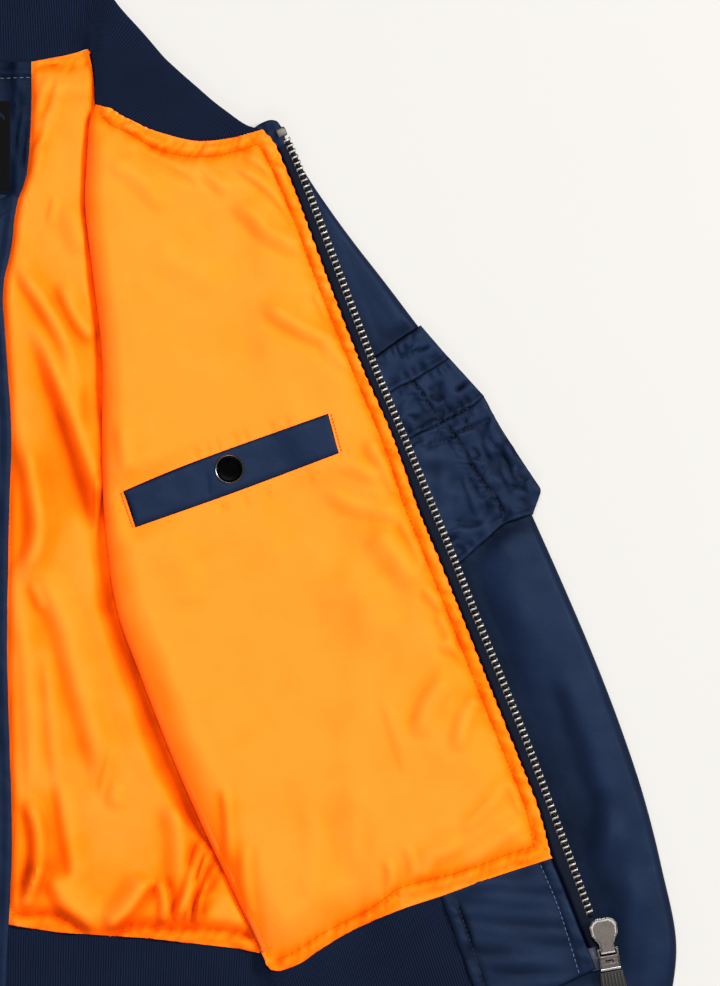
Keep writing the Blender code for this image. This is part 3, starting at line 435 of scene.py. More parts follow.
def depth_inside(places, outline):
    """Distance of plan places from a closed outline, positive inside it."""
    away = away_from(places, closed(outline))
    return np.where(inside(places, np.array(outline, float)), away, -away)


# ---------------------------------------------------------------- heights

ARMHOLE_EDGE = smooth_curve(ARMHOLE, 9)
BODY_EDGE = joined(ARMHOLE_EDGE, smooth_curve(SIDE_SEAM, 10))
SLEEVE_OUT = joined(smooth_curve(SLEEVE_OUTER[:8], 9), smooth_curve(SLEEVE_OUTER[7:], 8))
BODY_PLAN = np.vstack([NECK_HALF, BODY_EDGE, BACK_HEM_HALF[::-1]])
SLEEVE_PLAN = np.vstack([ARMHOLE_EDGE[::-1], SLEEVE_OUT, smooth_curve(SLEEVE_INNER, 8)[::-1]])
POCKET_PLAN = np.vstack([PEN_BAND_TOP, POCKET_OUTER, POCKET_HEM[::-1]])
RIGHT_EDGE = np.vstack([[(-85.0, 337.0)], mirrored(BODY_EDGE)])
LEFT_SEAMS = np.vstack([[(85.0, 337.0)], BODY_EDGE])
RASTER_X = np.arange(-40, 500, 2.0)
RASTER_Y = np.arange(-420, 420, 2.0)


def plateau(places, outline, height):
    """A height over an outline and a little beyond it, that then falls to 0."""
    margin, ramp = 12, 38
    return height * smooth_step((margin + ramp + depth_inside(places, outline)) / ramp)


def make_rest_raster():
    places = np.stack(np.meshgrid(RASTER_X, RASTER_Y), axis=-1)
    levels = (
        plateau(places, BODY_PLAN, LEFT_FRONT_Z + SHELL + GAP),
        plateau(places, SLEEVE_PLAN, SLEEVE_TOP + GAP),
        plateau(places, POCKET_PLAN, POCKET_TOP),
    )
    height = np.maximum.reduce(levels)
    weights = np.hanning(17)[1:-1]
    weights /= weights.sum()
    for axis in (0, 1):
        padded = np.pad(height, [(7, 7) if k == axis else (0, 0) for k in (0, 1)], mode="edge")
        height = np.apply_along_axis(np.convolve, axis, padded, weights, "valid")
    return height


REST_RASTER = make_rest_raster()


def rest_height(places):
    """Height of what the turned-over left front, its collar and its hem lie on."""
    step = RASTER_X[1] - RASTER_X[0]
    x = np.clip((places[..., 0] - RASTER_X[0]) / step, 0, len(RASTER_X) - 1.001)
    y = np.clip((places[..., 1] - RASTER_Y[0]) / step, 0, len(RASTER_Y) - 1.001)
    i, j = x.astype(int), y.astype(int)
    u, v = x - i, y - j
    low = REST_RASTER[j, i] * (1 - u) + REST_RASTER[j, i + 1] * u
    high = REST_RASTER[j + 1, i] * (1 - u) + REST_RASTER[j + 1, i + 1] * u
    return low * (1 - v) + high * v


def height_at(point):
    return float(rest_height(np.array(point, float)))


def front_height(places, level, edge):
    return SEAM_Z + (level - SEAM_Z) * smooth_step(away_from(places, edge) / SEAM_RAMP)


def right_hem_level(x):
    return LEFT_FRONT_Z + (RIGHT_FRONT_Z - LEFT_FRONT_Z) * smooth_step((x + 50) / 20)


def right_front_height(places):
    level = right_hem_level(places[..., 0])
    hem = level + (RIGHT_FRONT_Z - level) * smooth_step((places[..., 1] + 262) / 30)
    return np.minimum(front_height(places, RIGHT_FRONT_Z, RIGHT_EDGE), hem)


def left_front_height(places):
    return front_height(places, LEFT_FRONT_Z, LEFT_SEAMS)


def beside(places, line, reach, samples, fade):
    """Which places lie near a line, how far to its left, and how much a crease along it has there."""
    low, high = np.min(line, axis=0) - reach, np.max(line, axis=0) + reach
    near = np.all((places > low) & (places < high), axis=-1)
    line = smooth_curve(line, samples)
    away, along = nearest(places[near], line)
    share = along / length_along(line)[-1]
    return near, away, smooth_step(share / fade) * smooth_step((1 - share) / fade)


def crease(places, line, height, half_width, lean=0.0):
    """Rise of one crease. It fades toward both ends, and lean widens the flank on the right."""
    near, away, fading = beside(places, line, 3.2 * half_width, max(3 * len(line), 8), 0.3)
    width = half_width * np.where(away < 0, 1 + lean, 1 - lean) * (0.65 + 0.35 * fading)
    rise = np.zeros(places.shape[:-1])
    rise[near] = height * fading * np.exp(-((np.abs(away) / width) ** (2.0 if height > 0 else 1.5)))
    return rise


def creases(places, rows):
    """Rise of creases from rows of (height, half width, line), with a lean after them where they have one."""
    return sum(crease(places, line, height, half_width, *lean) for height, half_width, line, *lean in rows)


def fold(places, line, step, foot, half_width, tail):
    """Rise of one fold of cloth.

    It is a step up to the line's left that dies away behind, with a crease at its foot."""
    near, away, fading = beside(places, line, 3 * half_width + tail, 5 * len(line), 0.22)
    width = half_width * (0.75 + 0.25 * fading)
    climb = smooth_step((away / width + 1) / 2)
    dying = 1 - smooth_step((away - width) / tail)
    rise = np.zeros(places.shape[:-1])
    rise[near] = fading * (step * climb * dying - foot * bell(away + 0.95 * width, 0.8 * width))
    return rise


def folds(places, rows, scale=1.0):
    total = np.zeros(places.shape[:-1])
    for step, foot, half_width, tail, line in rows:
        total += fold(places, photo(line), scale * step, scale * foot, half_width * PIXEL, tail * PIXEL)
    return total


def openness(height, cell):
    """Share of the sky that each point of a grid of heights sees, for the painted shade in its colour."""
    reach = (1, 2, 4, 7, 11)
    far = max(reach)
    padded = np.pad(height, far, mode="edge")
    rows, columns = height.shape
    total = np.zeros(height.shape)
    turns = [(a, b) for a in (-1, 0, 1) for b in (-1, 0, 1) if a or b]
    for a, b in turns:
        steep = np.zeros(height.shape)
        for k in reach:
            other = padded[far + a * k : far + a * k + rows, far + b * k : far + b * k + columns]
            steep = np.maximum(steep, (other - height) / (cell * k * math.hypot(a, b)))
        total += 1 - steep / np.sqrt(1 + steep**2)
    total /= len(turns)
    for _ in range(2):
        padded = np.pad(total, 1, mode="edge")
        total = (padded[:-2, 1:-1] + 2 * total + padded[2:, 1:-1]) / 4
        padded = np.pad(total, 1, mode="edge")
        total = (padded[1:-1, :-2] + 2 * total + padded[1:-1, 2:]) / 4
    return total


def ripple(places, wavelength, seed, stretch=(1, 1)):
    """Uneven waves between about -1 and 1."""
    chance = np.random.default_rng(seed)
    total = np.zeros(places.shape[:-1])
    for _ in range(9):
        angle, phase = chance.uniform(0, 2 * math.pi, 2)
        turn = 2 * math.pi / (wavelength * chance.uniform(0.7, 1.5))
        wave = places[..., 0] * math.cos(angle) / stretch[0] + places[..., 1] * math.sin(angle) / stretch[1]
        total += np.sin(wave * turn + phase)
    return total / 4


def sewn(places, line, depth, half_width, swell, band, pucker, pitch, seed):
    """Relief beside a row of stitches: a groove, the swell of a band to its right, and puckers across it.

    band is the band's width. Puckers are short creases across the seam, about pitch apart."""
    line = np.array(line, float)
    away, along = nearest(places, smooth_curve(line, 4 * len(line)))
    chance = np.random.default_rng(seed)
    total = length_along(line)[-1]
    leaning = along - 0.7 * away
    count = int(total / pitch) + 2
    at = (np.arange(count) + chance.uniform(-0.35, 0.35, count)) * total / (count - 1)
    strong = chance.uniform(0.3, 1.0, count)
    index = np.clip(np.searchsorted(at, leaning), 1, count - 1)
    rise = np.zeros(along.shape)
    for k in (index - 1, index):
        rise -= strong[k] * bell(leaning - at[k], 0.26 * pitch)
    reach = np.where(away < 0, bell(away, 1.1 * band), 0.4 * bell(away, 0.55 * band))
    groove = -depth * bell(away, half_width)
    hump = np.where(away < 0, swell * np.sin(np.pi * np.clip(-away / band, 0, 1)) ** 0.8, 0)
    hump *= 1 + 0.3 * np.sin(along / pitch * 1.7 + seed) + 0.25 * np.sin(along / pitch * 0.61)
    return groove + hump + pucker * rise * reach


# ---------------------------------------------------------------- materials


def nodes_of(name):
    material = bpy.data.materials.new(name)
    material.use_nodes = True
    tree = material.node_tree
    return material, tree, tree.nodes["Principled BSDF"]


def coordinates(tree, turn=0.0):
    place = tree.nodes.new("ShaderNodeTexCoord")
    mapping = tree.nodes.new("ShaderNodeMapping")
    mapping.inputs["Rotation"].default_value = (0, 0, turn)
    tree.links.new(place.outputs["Object"], mapping.inputs["Vector"])
    return mapping.outputs["Vector"]


def noise(tree, scale, detail=3.0, distortion=0.0):
    node = tree.nodes.new("ShaderNodeTexNoise")
    node.inputs["Scale"].default_value = scale
    node.inputs["Detail"].default_value = detail
    node.inputs["Distortion"].default_value = distortion
    tree.links.new(coordinates(tree), node.inputs["Vector"])
    return node.outputs["Fac"]


def weave(tree, pitch, turn=0.0):
    """Threads that lie pitch millimetres apart."""
    node = tree.nodes.new("ShaderNodeTexWave")
    node.wave_profile = "SIN"
    node.bands_direction = "X"
    node.inputs["Scale"].default_value = 2 * math.pi / 20 / (pitch * MM)
    node.inputs["Distortion"].default_value = 0.4
    node.inputs["Detail"].default_value = 0.0
    tree.links.new(coordinates(tree, turn), node.inputs["Vector"])
    return node.outputs["Fac"]


def bump(tree, height, strength, distance, below=None):
    node = tree.nodes.new("ShaderNodeBump")
    node.inputs["Strength"].default_value = strength
    node.inputs["Distance"].default_value = distance * MM
    tree.links.new(height, node.inputs["Height"])
    if below:
        tree.links.new(below, node.inputs["Normal"])
    return node.outputs["Normal"]


def blended(tree, factor, low, high, dark, light):
    """A colour that runs from dark to light as factor runs from low to high."""
    ramp = tree.nodes.new("ShaderNodeValToRGB")
    ramp.color_ramp.elements[0].position = low
    ramp.color_ramp.elements[0].color = (*dark, 1)
    ramp.color_ramp.elements[1].position = high
    ramp.color_ramp.elements[1].color = (*light, 1)
    tree.links.new(factor, ramp.inputs["Fac"])
    return ramp.outputs["Color"]


def ranged(tree, factor, low, high, start=0.3, end=0.7):
    """A number that runs from low to high as factor runs from start to end."""
    node = tree.nodes.new("ShaderNodeMapRange")
    node.inputs["From Min"].default_value = start
    node.inputs["From Max"].default_value = end
    node.inputs["To Min"].default_value = low
    node.inputs["To Max"].default_value = high
    tree.links.new(factor, node.inputs["Value"])
    return node.outputs["Result"]


def shade(colour, factor):
    return tuple(min(channel * factor, 1.0) for channel in colour)


def cloth_material(
    name, colour, roughness, *, vary=0.06, thread=0.5, weave_depth=0.02, crinkle=0.25, crinkle_size=9,
    crinkle_depth=0.5, sheen=0.0, sheen_tint=(1, 1, 1), specular=0.5, tint=(1, 1, 1), twill=None,
):  # fmt: skip
    """Woven or knitted cloth. Its threads and crinkles are in millimetres, and twill is the threads' turn."""
    material, tree, shader = nodes_of(name)
    patches = noise(tree, 22, 2)
    colours = blended(tree, patches, 0.3, 0.7, shade(colour, 1 - vary), shade(colour, 1 + vary))
    tree.links.new(colours, shader.inputs["Base Color"])
    uneven = ranged(tree, noise(tree, 60, 3), roughness - 0.04, roughness + 0.04)
    tree.links.new(uneven, shader.inputs["Roughness"])
    soft = bump(tree, noise(tree, 1000 / crinkle_size, 3, distortion=0.4), crinkle, crinkle_depth)
    turns = (math.radians(3), math.radians(93)) if twill is None else (twill,)
    for turn in turns:
        soft = bump(tree, weave(tree, thread, turn), 0.5, weave_depth, soft)
    tree.links.new(soft, shader.inputs["Normal"])
    shader.inputs["Specular IOR Level"].default_value = specular
    shader.inputs["Specular Tint"].default_value = (*tint, 1)
    shader.inputs["Sheen Weight"].default_value = sheen
    shader.inputs["Sheen Roughness"].default_value = 0.5
    shader.inputs["Sheen Tint"].default_value = (*sheen_tint, 1)
    return material


def paint_shade_in_folds(material, table, specular):
    """Paints shade into cloth: its colour goes deeper and duller where it sees less of the sky.

    table has rows of (openness, colour), and specular is the shader's level in the folds and in the open."""
    tree = material.node_tree
    shader = tree.nodes["Principled BSDF"]
    seen = tree.nodes.new("ShaderNodeAttribute")
    seen.attribute_name = "openness"
    uneven = tree.nodes.new("ShaderNodeMath")
    uneven.operation = "ADD"
    tree.links.new(ranged(tree, noise(tree, 38, 3), -0.03, 0.05), uneven.inputs[0])
    tree.links.new(seen.outputs["Fac"], uneven.inputs[1])
    ramp = tree.nodes.new("ShaderNodeValToRGB")
    stops_of = ramp.color_ramp.elements
    while len(stops_of) < len(table):
        stops_of.new(0.5)
    for stop, (place, colour) in zip(stops_of, table):
        stop.position = place
        stop.color = (*colour, 1)
    tree.links.new(uneven.outputs["Value"], ramp.inputs["Fac"])
    tree.links.new(ramp.outputs["Color"], shader.inputs["Base Color"])
    level = ranged(tree, seen.outputs["Fac"], *specular, 0.62, 0.98)
    tree.links.new(level, shader.inputs["Specular IOR Level"])


def metal_material(name, bright, dark, roughness, grain=900):
    """Worn metal: dark in its pits, brighter where it is rubbed."""
    material, tree, shader = nodes_of(name)
    wear = noise(tree, grain, 4)
    tree.links.new(blended(tree, wear, 0.35, 0.62, dark, bright), shader.inputs["Base Color"])
    tree.links.new(ranged(tree, wear, roughness + 0.12, roughness - 0.06), shader.inputs["Roughness"])
    tree.links.new(bump(tree, wear, 0.3, 0.05), shader.inputs["Normal"])
    shader.inputs["Metallic"].default_value = 1.0
    return material


def plain_material(name, colour, roughness, grain=700, depth=0.03, specular=0.2):
    material, tree, shader = nodes_of(name)
    speck = noise(tree, grain, 3)
    colours = blended(tree, speck, 0.3, 0.7, shade(colour, 0.85), shade(colour, 1.15))
    tree.links.new(colours, shader.inputs["Base Color"])
    tree.links.new(ranged(tree, speck, roughness - 0.03, roughness + 0.05), shader.inputs["Roughness"])
    tree.links.new(bump(tree, speck, 0.3, depth), shader.inputs["Normal"])
    shader.inputs["Specular IOR Level"].default_value = specular
    return material


NAVY = (0.0038, 0.0080, 0.0225)
ORANGE = (0.96, 0.148, 0.0042)
SATIN = cloth_material(
    "orange_satin", ORANGE, 0.56, vary=0.03, thread=0.45, weave_depth=0.012, crinkle=0.25, crinkle_size=18,
    crinkle_depth=0.8, specular=0.6, tint=(1.0, 0.36, 0.01),
)  # fmt: skip
# Painted shade: the satin goes deep red and loses its shine where it sees less of the sky.
paint_shade_in_folds(
    SATIN,
    (
        (0.56, (0.36, 0.020, 0.0002)), (0.65, (0.55, 0.046, 0.0004)), (0.74, (0.77, 0.082, 0.0008)),
        (0.84, (0.91, 0.116, 0.0024)), (0.93, (0.96, 0.143, 0.0100)), (1.0, (0.96, 0.154, 0.0145)),
    ),
    (0.12, 0.6),
)  # fmt: skip
NYLON, NYLON_TRIM = (
    cloth_material(name, NAVY, 0.5, crinkle=0.5, crinkle_size=size, crinkle_depth=0.4, specular=specular,
                   tint=(0.5, 0.68, 1.0))
    for name, size, specular in (("navy_nylon", 7, 0.09), ("navy_nylon_trim", 5, 0.06))
)  # fmt: skip
# Painted shade: both navy nylons darken and lose their shine where they see less of the sky.
for cloth, tone, shine in ((NYLON, 1.05, 0.085), (NYLON_TRIM, 0.80, 0.05)):
    paint_shade_in_folds(
        cloth,
        ((0.60, shade(NAVY, 0.05)), (0.78, shade(NAVY, 0.30 * tone)), (0.92, shade(NAVY, 0.78 * tone)),
         (1.0, shade(NAVY, 1.04 * tone))),
        (0.004, shine),
    )  # fmt: skip
NYLON_SHADOW = cloth_material("navy_nylon_shadow", shade(NAVY, 0.04), 0.7, specular=0.0)
KNIT = cloth_material(
    "navy_rib_knit", (0.0028, 0.0060, 0.0168), 0.85, vary=0.12, thread=1.1, weave_depth=0.12, crinkle=0.3,
    crinkle_size=3, crinkle_depth=0.3, sheen=0.03, sheen_tint=(0.35, 0.45, 0.8), specular=0.05,
)  # fmt: skip
# Painted shade: the rib knit darkens where it sees less of the sky.
paint_shade_in_folds(
    KNIT,
    ((0.5, (0.0007, 0.0012, 0.0036)), (0.8, (0.0024, 0.0047, 0.0134)), (1.0, (0.0034, 0.0068, 0.0190))),
    (0.01, 0.06),
)
LABEL_CLOTH = cloth_material(
    "black_woven_label", (0.0024, 0.0022, 0.0025), 0.7, thread=0.5, weave_depth=0.06, crinkle=0.1,
    specular=0.02,
)  # fmt: skip
TAPE_CLOTH = cloth_material(
    "zip_tape", (0.0015, 0.0030, 0.0084), 0.75, thread=0.9, weave_depth=0.12, crinkle=0.2, crinkle_size=4,
    twill=math.radians(38), sheen=0.02, sheen_tint=(0.4, 0.5, 0.8), specular=0.08,
)  # fmt: skip
# Painted shade: the zip tape darkens where it sees less of the sky, and in a painted shadow beside the
# lining's edge.
paint_shade_in_folds(TAPE_CLOTH, ((0.4, (0.0002, 0.0003, 0.0008)), (0.9, (0.0015, 0.0030, 0.0084))), (0.005, 0.07))
ORANGE_THREAD = plain_material("orange_thread", (0.52, 0.055, 0.0005), 0.8, specular=0.02)
RED_THREAD = plain_material("welt_thread", (0.60, 0.035, 0.003), 0.6)
NAVY_THREAD = plain_material("navy_thread", (0.0035, 0.0055, 0.014), 0.6)
BLUE_THREAD = plain_material("pale_blue_thread", (0.045, 0.075, 0.15), 0.55)
GREY_THREAD = plain_material("grey_thread", (0.075, 0.095, 0.13), 0.6)
TOOTH = metal_material("zip_tooth_metal", (0.235, 0.222, 0.205), (0.11, 0.103, 0.094), 0.42)
# Near-black metal: painted shade between the zip's teeth.
TEETH_SHADE_METAL = metal_material("zip_teeth_painted_shade", (0.010, 0.009, 0.008), (0.004, 0.0035, 0.003), 0.5)
SLIDER_METAL = metal_material("slider_metal", (0.092, 0.079, 0.071), (0.060, 0.052, 0.047), 0.34, 160)
PULL_METAL = metal_material("pull_metal", (0.14, 0.125, 0.115), (0.085, 0.075, 0.07), 0.32, 160)
# Bright metal for painted highlights on the slider's rim and the pull link's ends, partly rubbed wear.
HIGHLIGHT_METAL = metal_material("painted_highlight_metal", (0.36, 0.34, 0.32), (0.20, 0.19, 0.18), 0.30, 160)
STOP_METAL = metal_material("stop_metal", (0.085, 0.078, 0.068), (0.05, 0.046, 0.04), 0.5, 160)
SNAP_METAL = metal_material("snap_metal", (0.16, 0.155, 0.148), (0.06, 0.058, 0.055), 0.24, 500)
RUBBER = plain_material("ribbed_rubber", (0.0088, 0.0084, 0.0080), 0.45)
FILM = plain_material("tape_end_film", (0.020, 0.027, 0.044), 0.45)
ENAMEL = plain_material("gloss_black", (0.0004, 0.0004, 0.0005), 0.22, grain=300, depth=0.002, specular=0.005)


# ---------------------------------------------------------------- meshes

SHEETS = []
SMOOTH_ANGLE = math.radians(50)
RIM_ROUNDING = 0.55  # of a wall's thickness


def new_piece(name, vertices, faces, material, slot, node=None, body=GARMENT, smooth=True, light=None):
    """An object from arrays of vertices, in millimetres, and faces. node is the solid that it stands for."""
    mesh = bpy.data.meshes.new(name)
    mesh.from_pydata((np.asarray(vertices, float) * MM).tolist(), [], [list(face) for face in faces])
    mesh.materials.append(material)
    obj = bpy.data.objects.new(name, mesh)
    bpy.context.scene.collection.objects.link(obj)
    # light is painted shade: the materials darken their colour by it through the openness attribute.
    if light is not None:
        layer = mesh.attributes.new("openness", "FLOAT", "POINT")
        values = np.ones(len(mesh.vertices))
        values[: light.size] = light.reshape(-1)
        layer.data.foreach_set("value", values)
    if smooth:
        mesh.shade_smooth()
        mesh.set_sharp_from_angle(angle=SMOOTH_ANGLE)
    bpy.context.view_layer.update()
    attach(obj, body)
    if node:
        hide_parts(node)
    return obj


def normals_of(middle, wrap=False):
    if wrap:
        around = np.roll(middle, -1, axis=1) - np.roll(middle, 1, axis=1)
    else:
        around = np.gradient(middle, axis=1)
    normals = np.cross(around, np.gradient(middle, axis=0))
    normals /= np.maximum(np.linalg.norm(normals, axis=-1), 1e-9)[..., None]
    return normals


def steps_of(grid, axis):
    """Distances between neighbouring points of a grid along its rows or columns."""
    return np.linalg.norm(np.diff(grid, axis=axis), axis=-1)


def rim_factor(middle, thickness, wrap=False):
    """0 at the free edges of a wall, rising to 1 half a thickness inside them."""
    run = np.vstack([np.zeros((1, middle.shape[1])), np.cumsum(steps_of(middle, 0), axis=0)])
    away = np.minimum(run, run[-1] - run)
    if not wrap:
        run = np.hstack([np.zeros((middle.shape[0], 1)), np.cumsum(steps_of(middle, 1), axis=1)])
        away = np.minimum(away, np.minimum(run, run[:, -1:] - run))
    return quarter_round(away, RIM_ROUNDING * thickness)


def wall(
    name, middle, thickness, material, slot, *, wrap=False, up=True, normals=None, held="laid", rests_on=(),
    **facts,
):  # fmt: skip
    """A closed wall of cloth, with round rims, on both sides of a grid of points. It is noted as a sheet."""
    middle = np.asarray(middle, float)
    rows, columns = middle.shape[:2]
    if normals is None:
        normals = normals_of(middle, wrap)
    if up and normals[..., 2].mean() < 0:
        normals = -normals
    half = (thickness / 2 * rim_factor(middle, thickness, wrap))[..., None]
    top, bottom = middle + normals * half, middle - normals * half
    index = np.arange(rows * columns).reshape(rows, columns)
    border = np.zeros((rows, columns), bool)
    border[[0, -1]] = True
    if not wrap:
        border[:, [0, -1]] = True
    lower = index.copy()
    lower[~border] = rows * columns + np.arange((~border).sum())
    vertices = np.vstack([top.reshape(-1, 3), bottom[~border]])
    if wrap:
        index, lower = (np.hstack([grid, grid[:, :1]]) for grid in (index, lower))
    quads = [index[:-1, :-1], index[:-1, 1:], index[1:, 1:], index[1:, :-1]]
    under = [lower[:-1, :-1], lower[1:, :-1], lower[1:, 1:], lower[:-1, 1:]]
    upper_faces, lower_faces = (np.stack(four, axis=-1).reshape(-1, 4) for four in (quads, under))
    faces = np.vstack([upper_faces, lower_faces])
    a, b, c = (vertices[upper_faces[:, k]] for k in range(3))
    outward = np.cross(b - a, c - a)
    given = normals.reshape(-1, 3)[upper_faces[:, 0] % (rows * columns)]
    if (outward * given).sum() < 0:
        faces = faces[:, ::-1]
    cut = [float(steps_of(middle, axis).sum(axis=axis).max()) * MM for axis in (1, 0)]
    piece = new_piece(name, vertices, faces, material, slot, **facts)
    SHEETS.append((piece, cut, held, rests_on))
    return piece


def laid(name, plan, base, thickness, material, slot, relief=0.0, **facts):
    """A wall of cloth that lies flat, from a grid in plan and the height of its underside."""
    middle = at_height(plan, base + thickness / 2 + relief)
    # By default the piece gets painted shade from its own openness.
    if "light" not in facts:
        cell = (steps_of(plan, 0).mean() + steps_of(plan, 1).mean()) / 2
        facts["light"] = openness(middle[..., 2], cell)
    return wall(name, middle, thickness, material, slot, **facts)


def merged(name, parts, material, slot, **facts):
    """One object from several (vertices, faces)."""
    vertices, faces, start = [], [], 0
    for points, loops in parts:
        vertices.append(points)
        faces.extend([tuple(np.array(loop) + start) for loop in loops])
        start += len(points)
    return new_piece(name, np.vstack(vertices), faces, material, slot, **facts)


def lathe(profile, centre, steps=72):
    """Vertices and faces of a shape turned about a vertical axis.

    profile has rows of (radius, height). It runs from the axis to the axis, or round a ring's section."""
    angles = np.linspace(0, 2 * math.pi, steps, endpoint=False)
    rings = [row for row in profile if row[0] > 0]
    points = [(centre[0] + r * math.cos(a), centre[1] + r * math.sin(a), z) for r, z in rings for a in angles]
    following = [(s, (s + 1) % steps) for s in range(steps)]
    last = (len(rings) - 1) * steps
    faces = []
    for k in range(0, last, steps):
        faces += [(k + s, k + t, k + steps + t, k + steps + s) for s, t in following]
    if profile[0][0] > 0:
        faces += [(last + s, last + t, t, s) for s, t in following]
        return np.array(points), faces
    points += [(*centre, profile[0][1]), (*centre, profile[-1][1])]
    low, high = len(points) - 2, len(points) - 1
    faces += [(low, t, s) for s, t in following]
    faces += [(high, last + s, last + t) for s, t in following]
    return np.array(points), faces


def stitch_shape(length, radius, around=6):
    """A short thread, thick in the middle, along x."""
    rings = ((-0.5, 0.25), (-0.36, 0.85), (0, 1.0), (0.36, 0.85), (0.5, 0.25))
    angles = [2 * math.pi * k / around for k in range(around)]
    points = [
        (share * length, radius * wide * math.cos(angle), radius * wide * math.sin(angle))
        for share, wide in rings
        for angle in angles
    ]
    last = (len(rings) - 1) * around
    faces = []
    for ring in range(0, last, around):
        for k in range(around):
            n = (k + 1) % around
            faces.append((ring + k, ring + around + k, ring + around + n, ring + n))
    faces.append(tuple(range(around)))
    faces.append(tuple(last + k for k in reversed(range(around))))
    return np.array(points), faces


def tree_of(obj):
    mesh = obj.data
    return BVHTree.FromPolygons([v.co for v in mesh.vertices], [p.vertices for p in mesh.polygons])


def on_top(tree, places):
    """Points of the surface straight below plan places, in millimetres. A place off the surface is None."""
    found = []
    for x, y in places:
        hit = tree.ray_cast(Vector((x * MM, y * MM, 0.2)), Vector((0, 0, -1)))[0]
        found.append(None if hit is None else np.array(hit) / MM)
    return found


def stitches(name, obj, lines, material, slot, pitch=3.0, length=2.2, radius=0.28):
    """Rows of stitches on top of a piece, along plan lines."""
    tree = tree_of(obj)
    shape, loops = stitch_shape(length, radius)
    look_ahead, sink, steepest = 0.6, 0.05, 0.5
    parts = []
    for line in lines:
        dense = smooth_curve(line, max(len(line) * 2, 4))
        total = length_along(dense)[-1]
        count = max(int(total / pitch), 1)
        shares = (np.arange(count) + 0.5) / count
        ends = np.clip(shares + look_ahead / total, 0, 1)
        for high, far in zip(*(on_top(tree, spaced(dense, places)) for places in (shares, ends))):
            if high is None or far is None:
                continue
            along = far - high
            along[2] = np.clip(along[2], -steepest, steepest)
            along = unit(along)
            side = unit(np.cross((0, 0, 1), along))
            turn = np.stack([along, side, np.cross(along, side)])
            parts.append((shape @ turn + high + (0, 0, radius * 0.5 - sink), loops))
    return merged(name, parts, material, slot)


# ---------------------------------------------------------------- back and its lining

HIDDEN_SHARE = 0.55  # of the back lining's width, below the right front
LINING_SHOULDER = ((196, 240), (95, 306))
LINING_NECK_CORNER = (89, 338.5)
LINING_HEM_X = 198
FACING_TOP = ((-47, 328), (47, 328))
BESIDE_FOLD_CREASE_PX = ((90, 395), (95, 428), (99, 462), (101, 492), (103, 518))
# Right of the fold, at rising heights y, how high the turned-over front stands over the back, for the painted
# shade that it casts on the back lining.
FRONT_OVER_BACK = (
    (-240, -185, -132, -100, -40, 20, 60, 110, 150, 220),
    (7.5, 9.0, 12.0, 12.5, 9.5, 6.2, 5.4, 5.8, 6.2, 7.6),
)


def across_at(line, half_width):
    """Points of a line across the body, at even steps of x."""

    def points(shares):
        x = (2 * shares - 1) * half_width
        return np.stack([x, np.interp(x, line[:, 0], line[:, 1])], axis=1)

    return points


def uncovered(plan):
    """1 where at most the turned-over front lies on the back lining, 0 under the neck facing and the flap."""
    x, y = plan[..., 0], plan[..., 1]
    facing_x, flap_x = x_on(BACK_FACING, y), x_on(WIND_FLAP_EDGE, y)
    above_flap, below_facing = y > WIND_FLAP_TOP[-1][1], y < BACK_FACING[-1][1]
    edge = np.where(above_flap, facing_x, np.where(below_facing, flap_x, np.maximum(facing_x, flap_x)))
    return smooth_step((x - edge + 0.6) / 5) * smooth_step((334 - y) / 8)


def back_panel():
    shoulder = spaced(mirrored([SHOULDER_POINT, NECK_HALF[-1]]), 4)
    top = joined(shoulder, both_sides(NECK_HALF), mirrored(shoulder[::-1]))
    plan = patch(straight(mirrored(BODY_EDGE)), straight(BODY_EDGE), straight(top),
                 straight(both_sides(BACK_HEM_HALF)), stops(560, 7), stops(610, 7))  # fmt: skip
    return laid("back_panel", plan, 0.0, SHELL, NYLON, "nylon", node="back_shell", rests_on=["left_sleeve"])


def back_lining_plan(hem):
    side = smooth_curve(joined(np.array(ARMHOLE, float), np.array(SIDE_SEAM, float)) - (LINING_INSET, 0), 17)
    side[0] = LINING_SHOULDER[0]
    side[-1] = (LINING_HEM_X, np.interp(LINING_HEM_X, hem[:, 0], hem[:, 1]))
    shoulder = spaced(mirrored(LINING_SHOULDER), 4)
    corners = mirrored([LINING_NECK_CORNER])[0], LINING_NECK_CORNER
    neck = spaced(both_sides(NECK_HALF), 11)[1:-1]
    top = np.vstack([shoulder, corners[0], neck, corners[1], mirrored(shoulder[::-1])])
    hidden = np.linspace(0, HIDDEN_SHARE, 12)
    shown = np.linspace(HIDDEN_SHARE, 1, 106)
    across = np.unique(np.concatenate([[0.001, 0.003], hidden, shown, [0.997, 0.999]]))
    return patch(straight(mirrored(side)), straight(side), across_at(top, LINING_SHOULDER[0][0]),
                 across_at(hem, LINING_HEM_X), across, stops(560, 2.05))  # fmt: skip


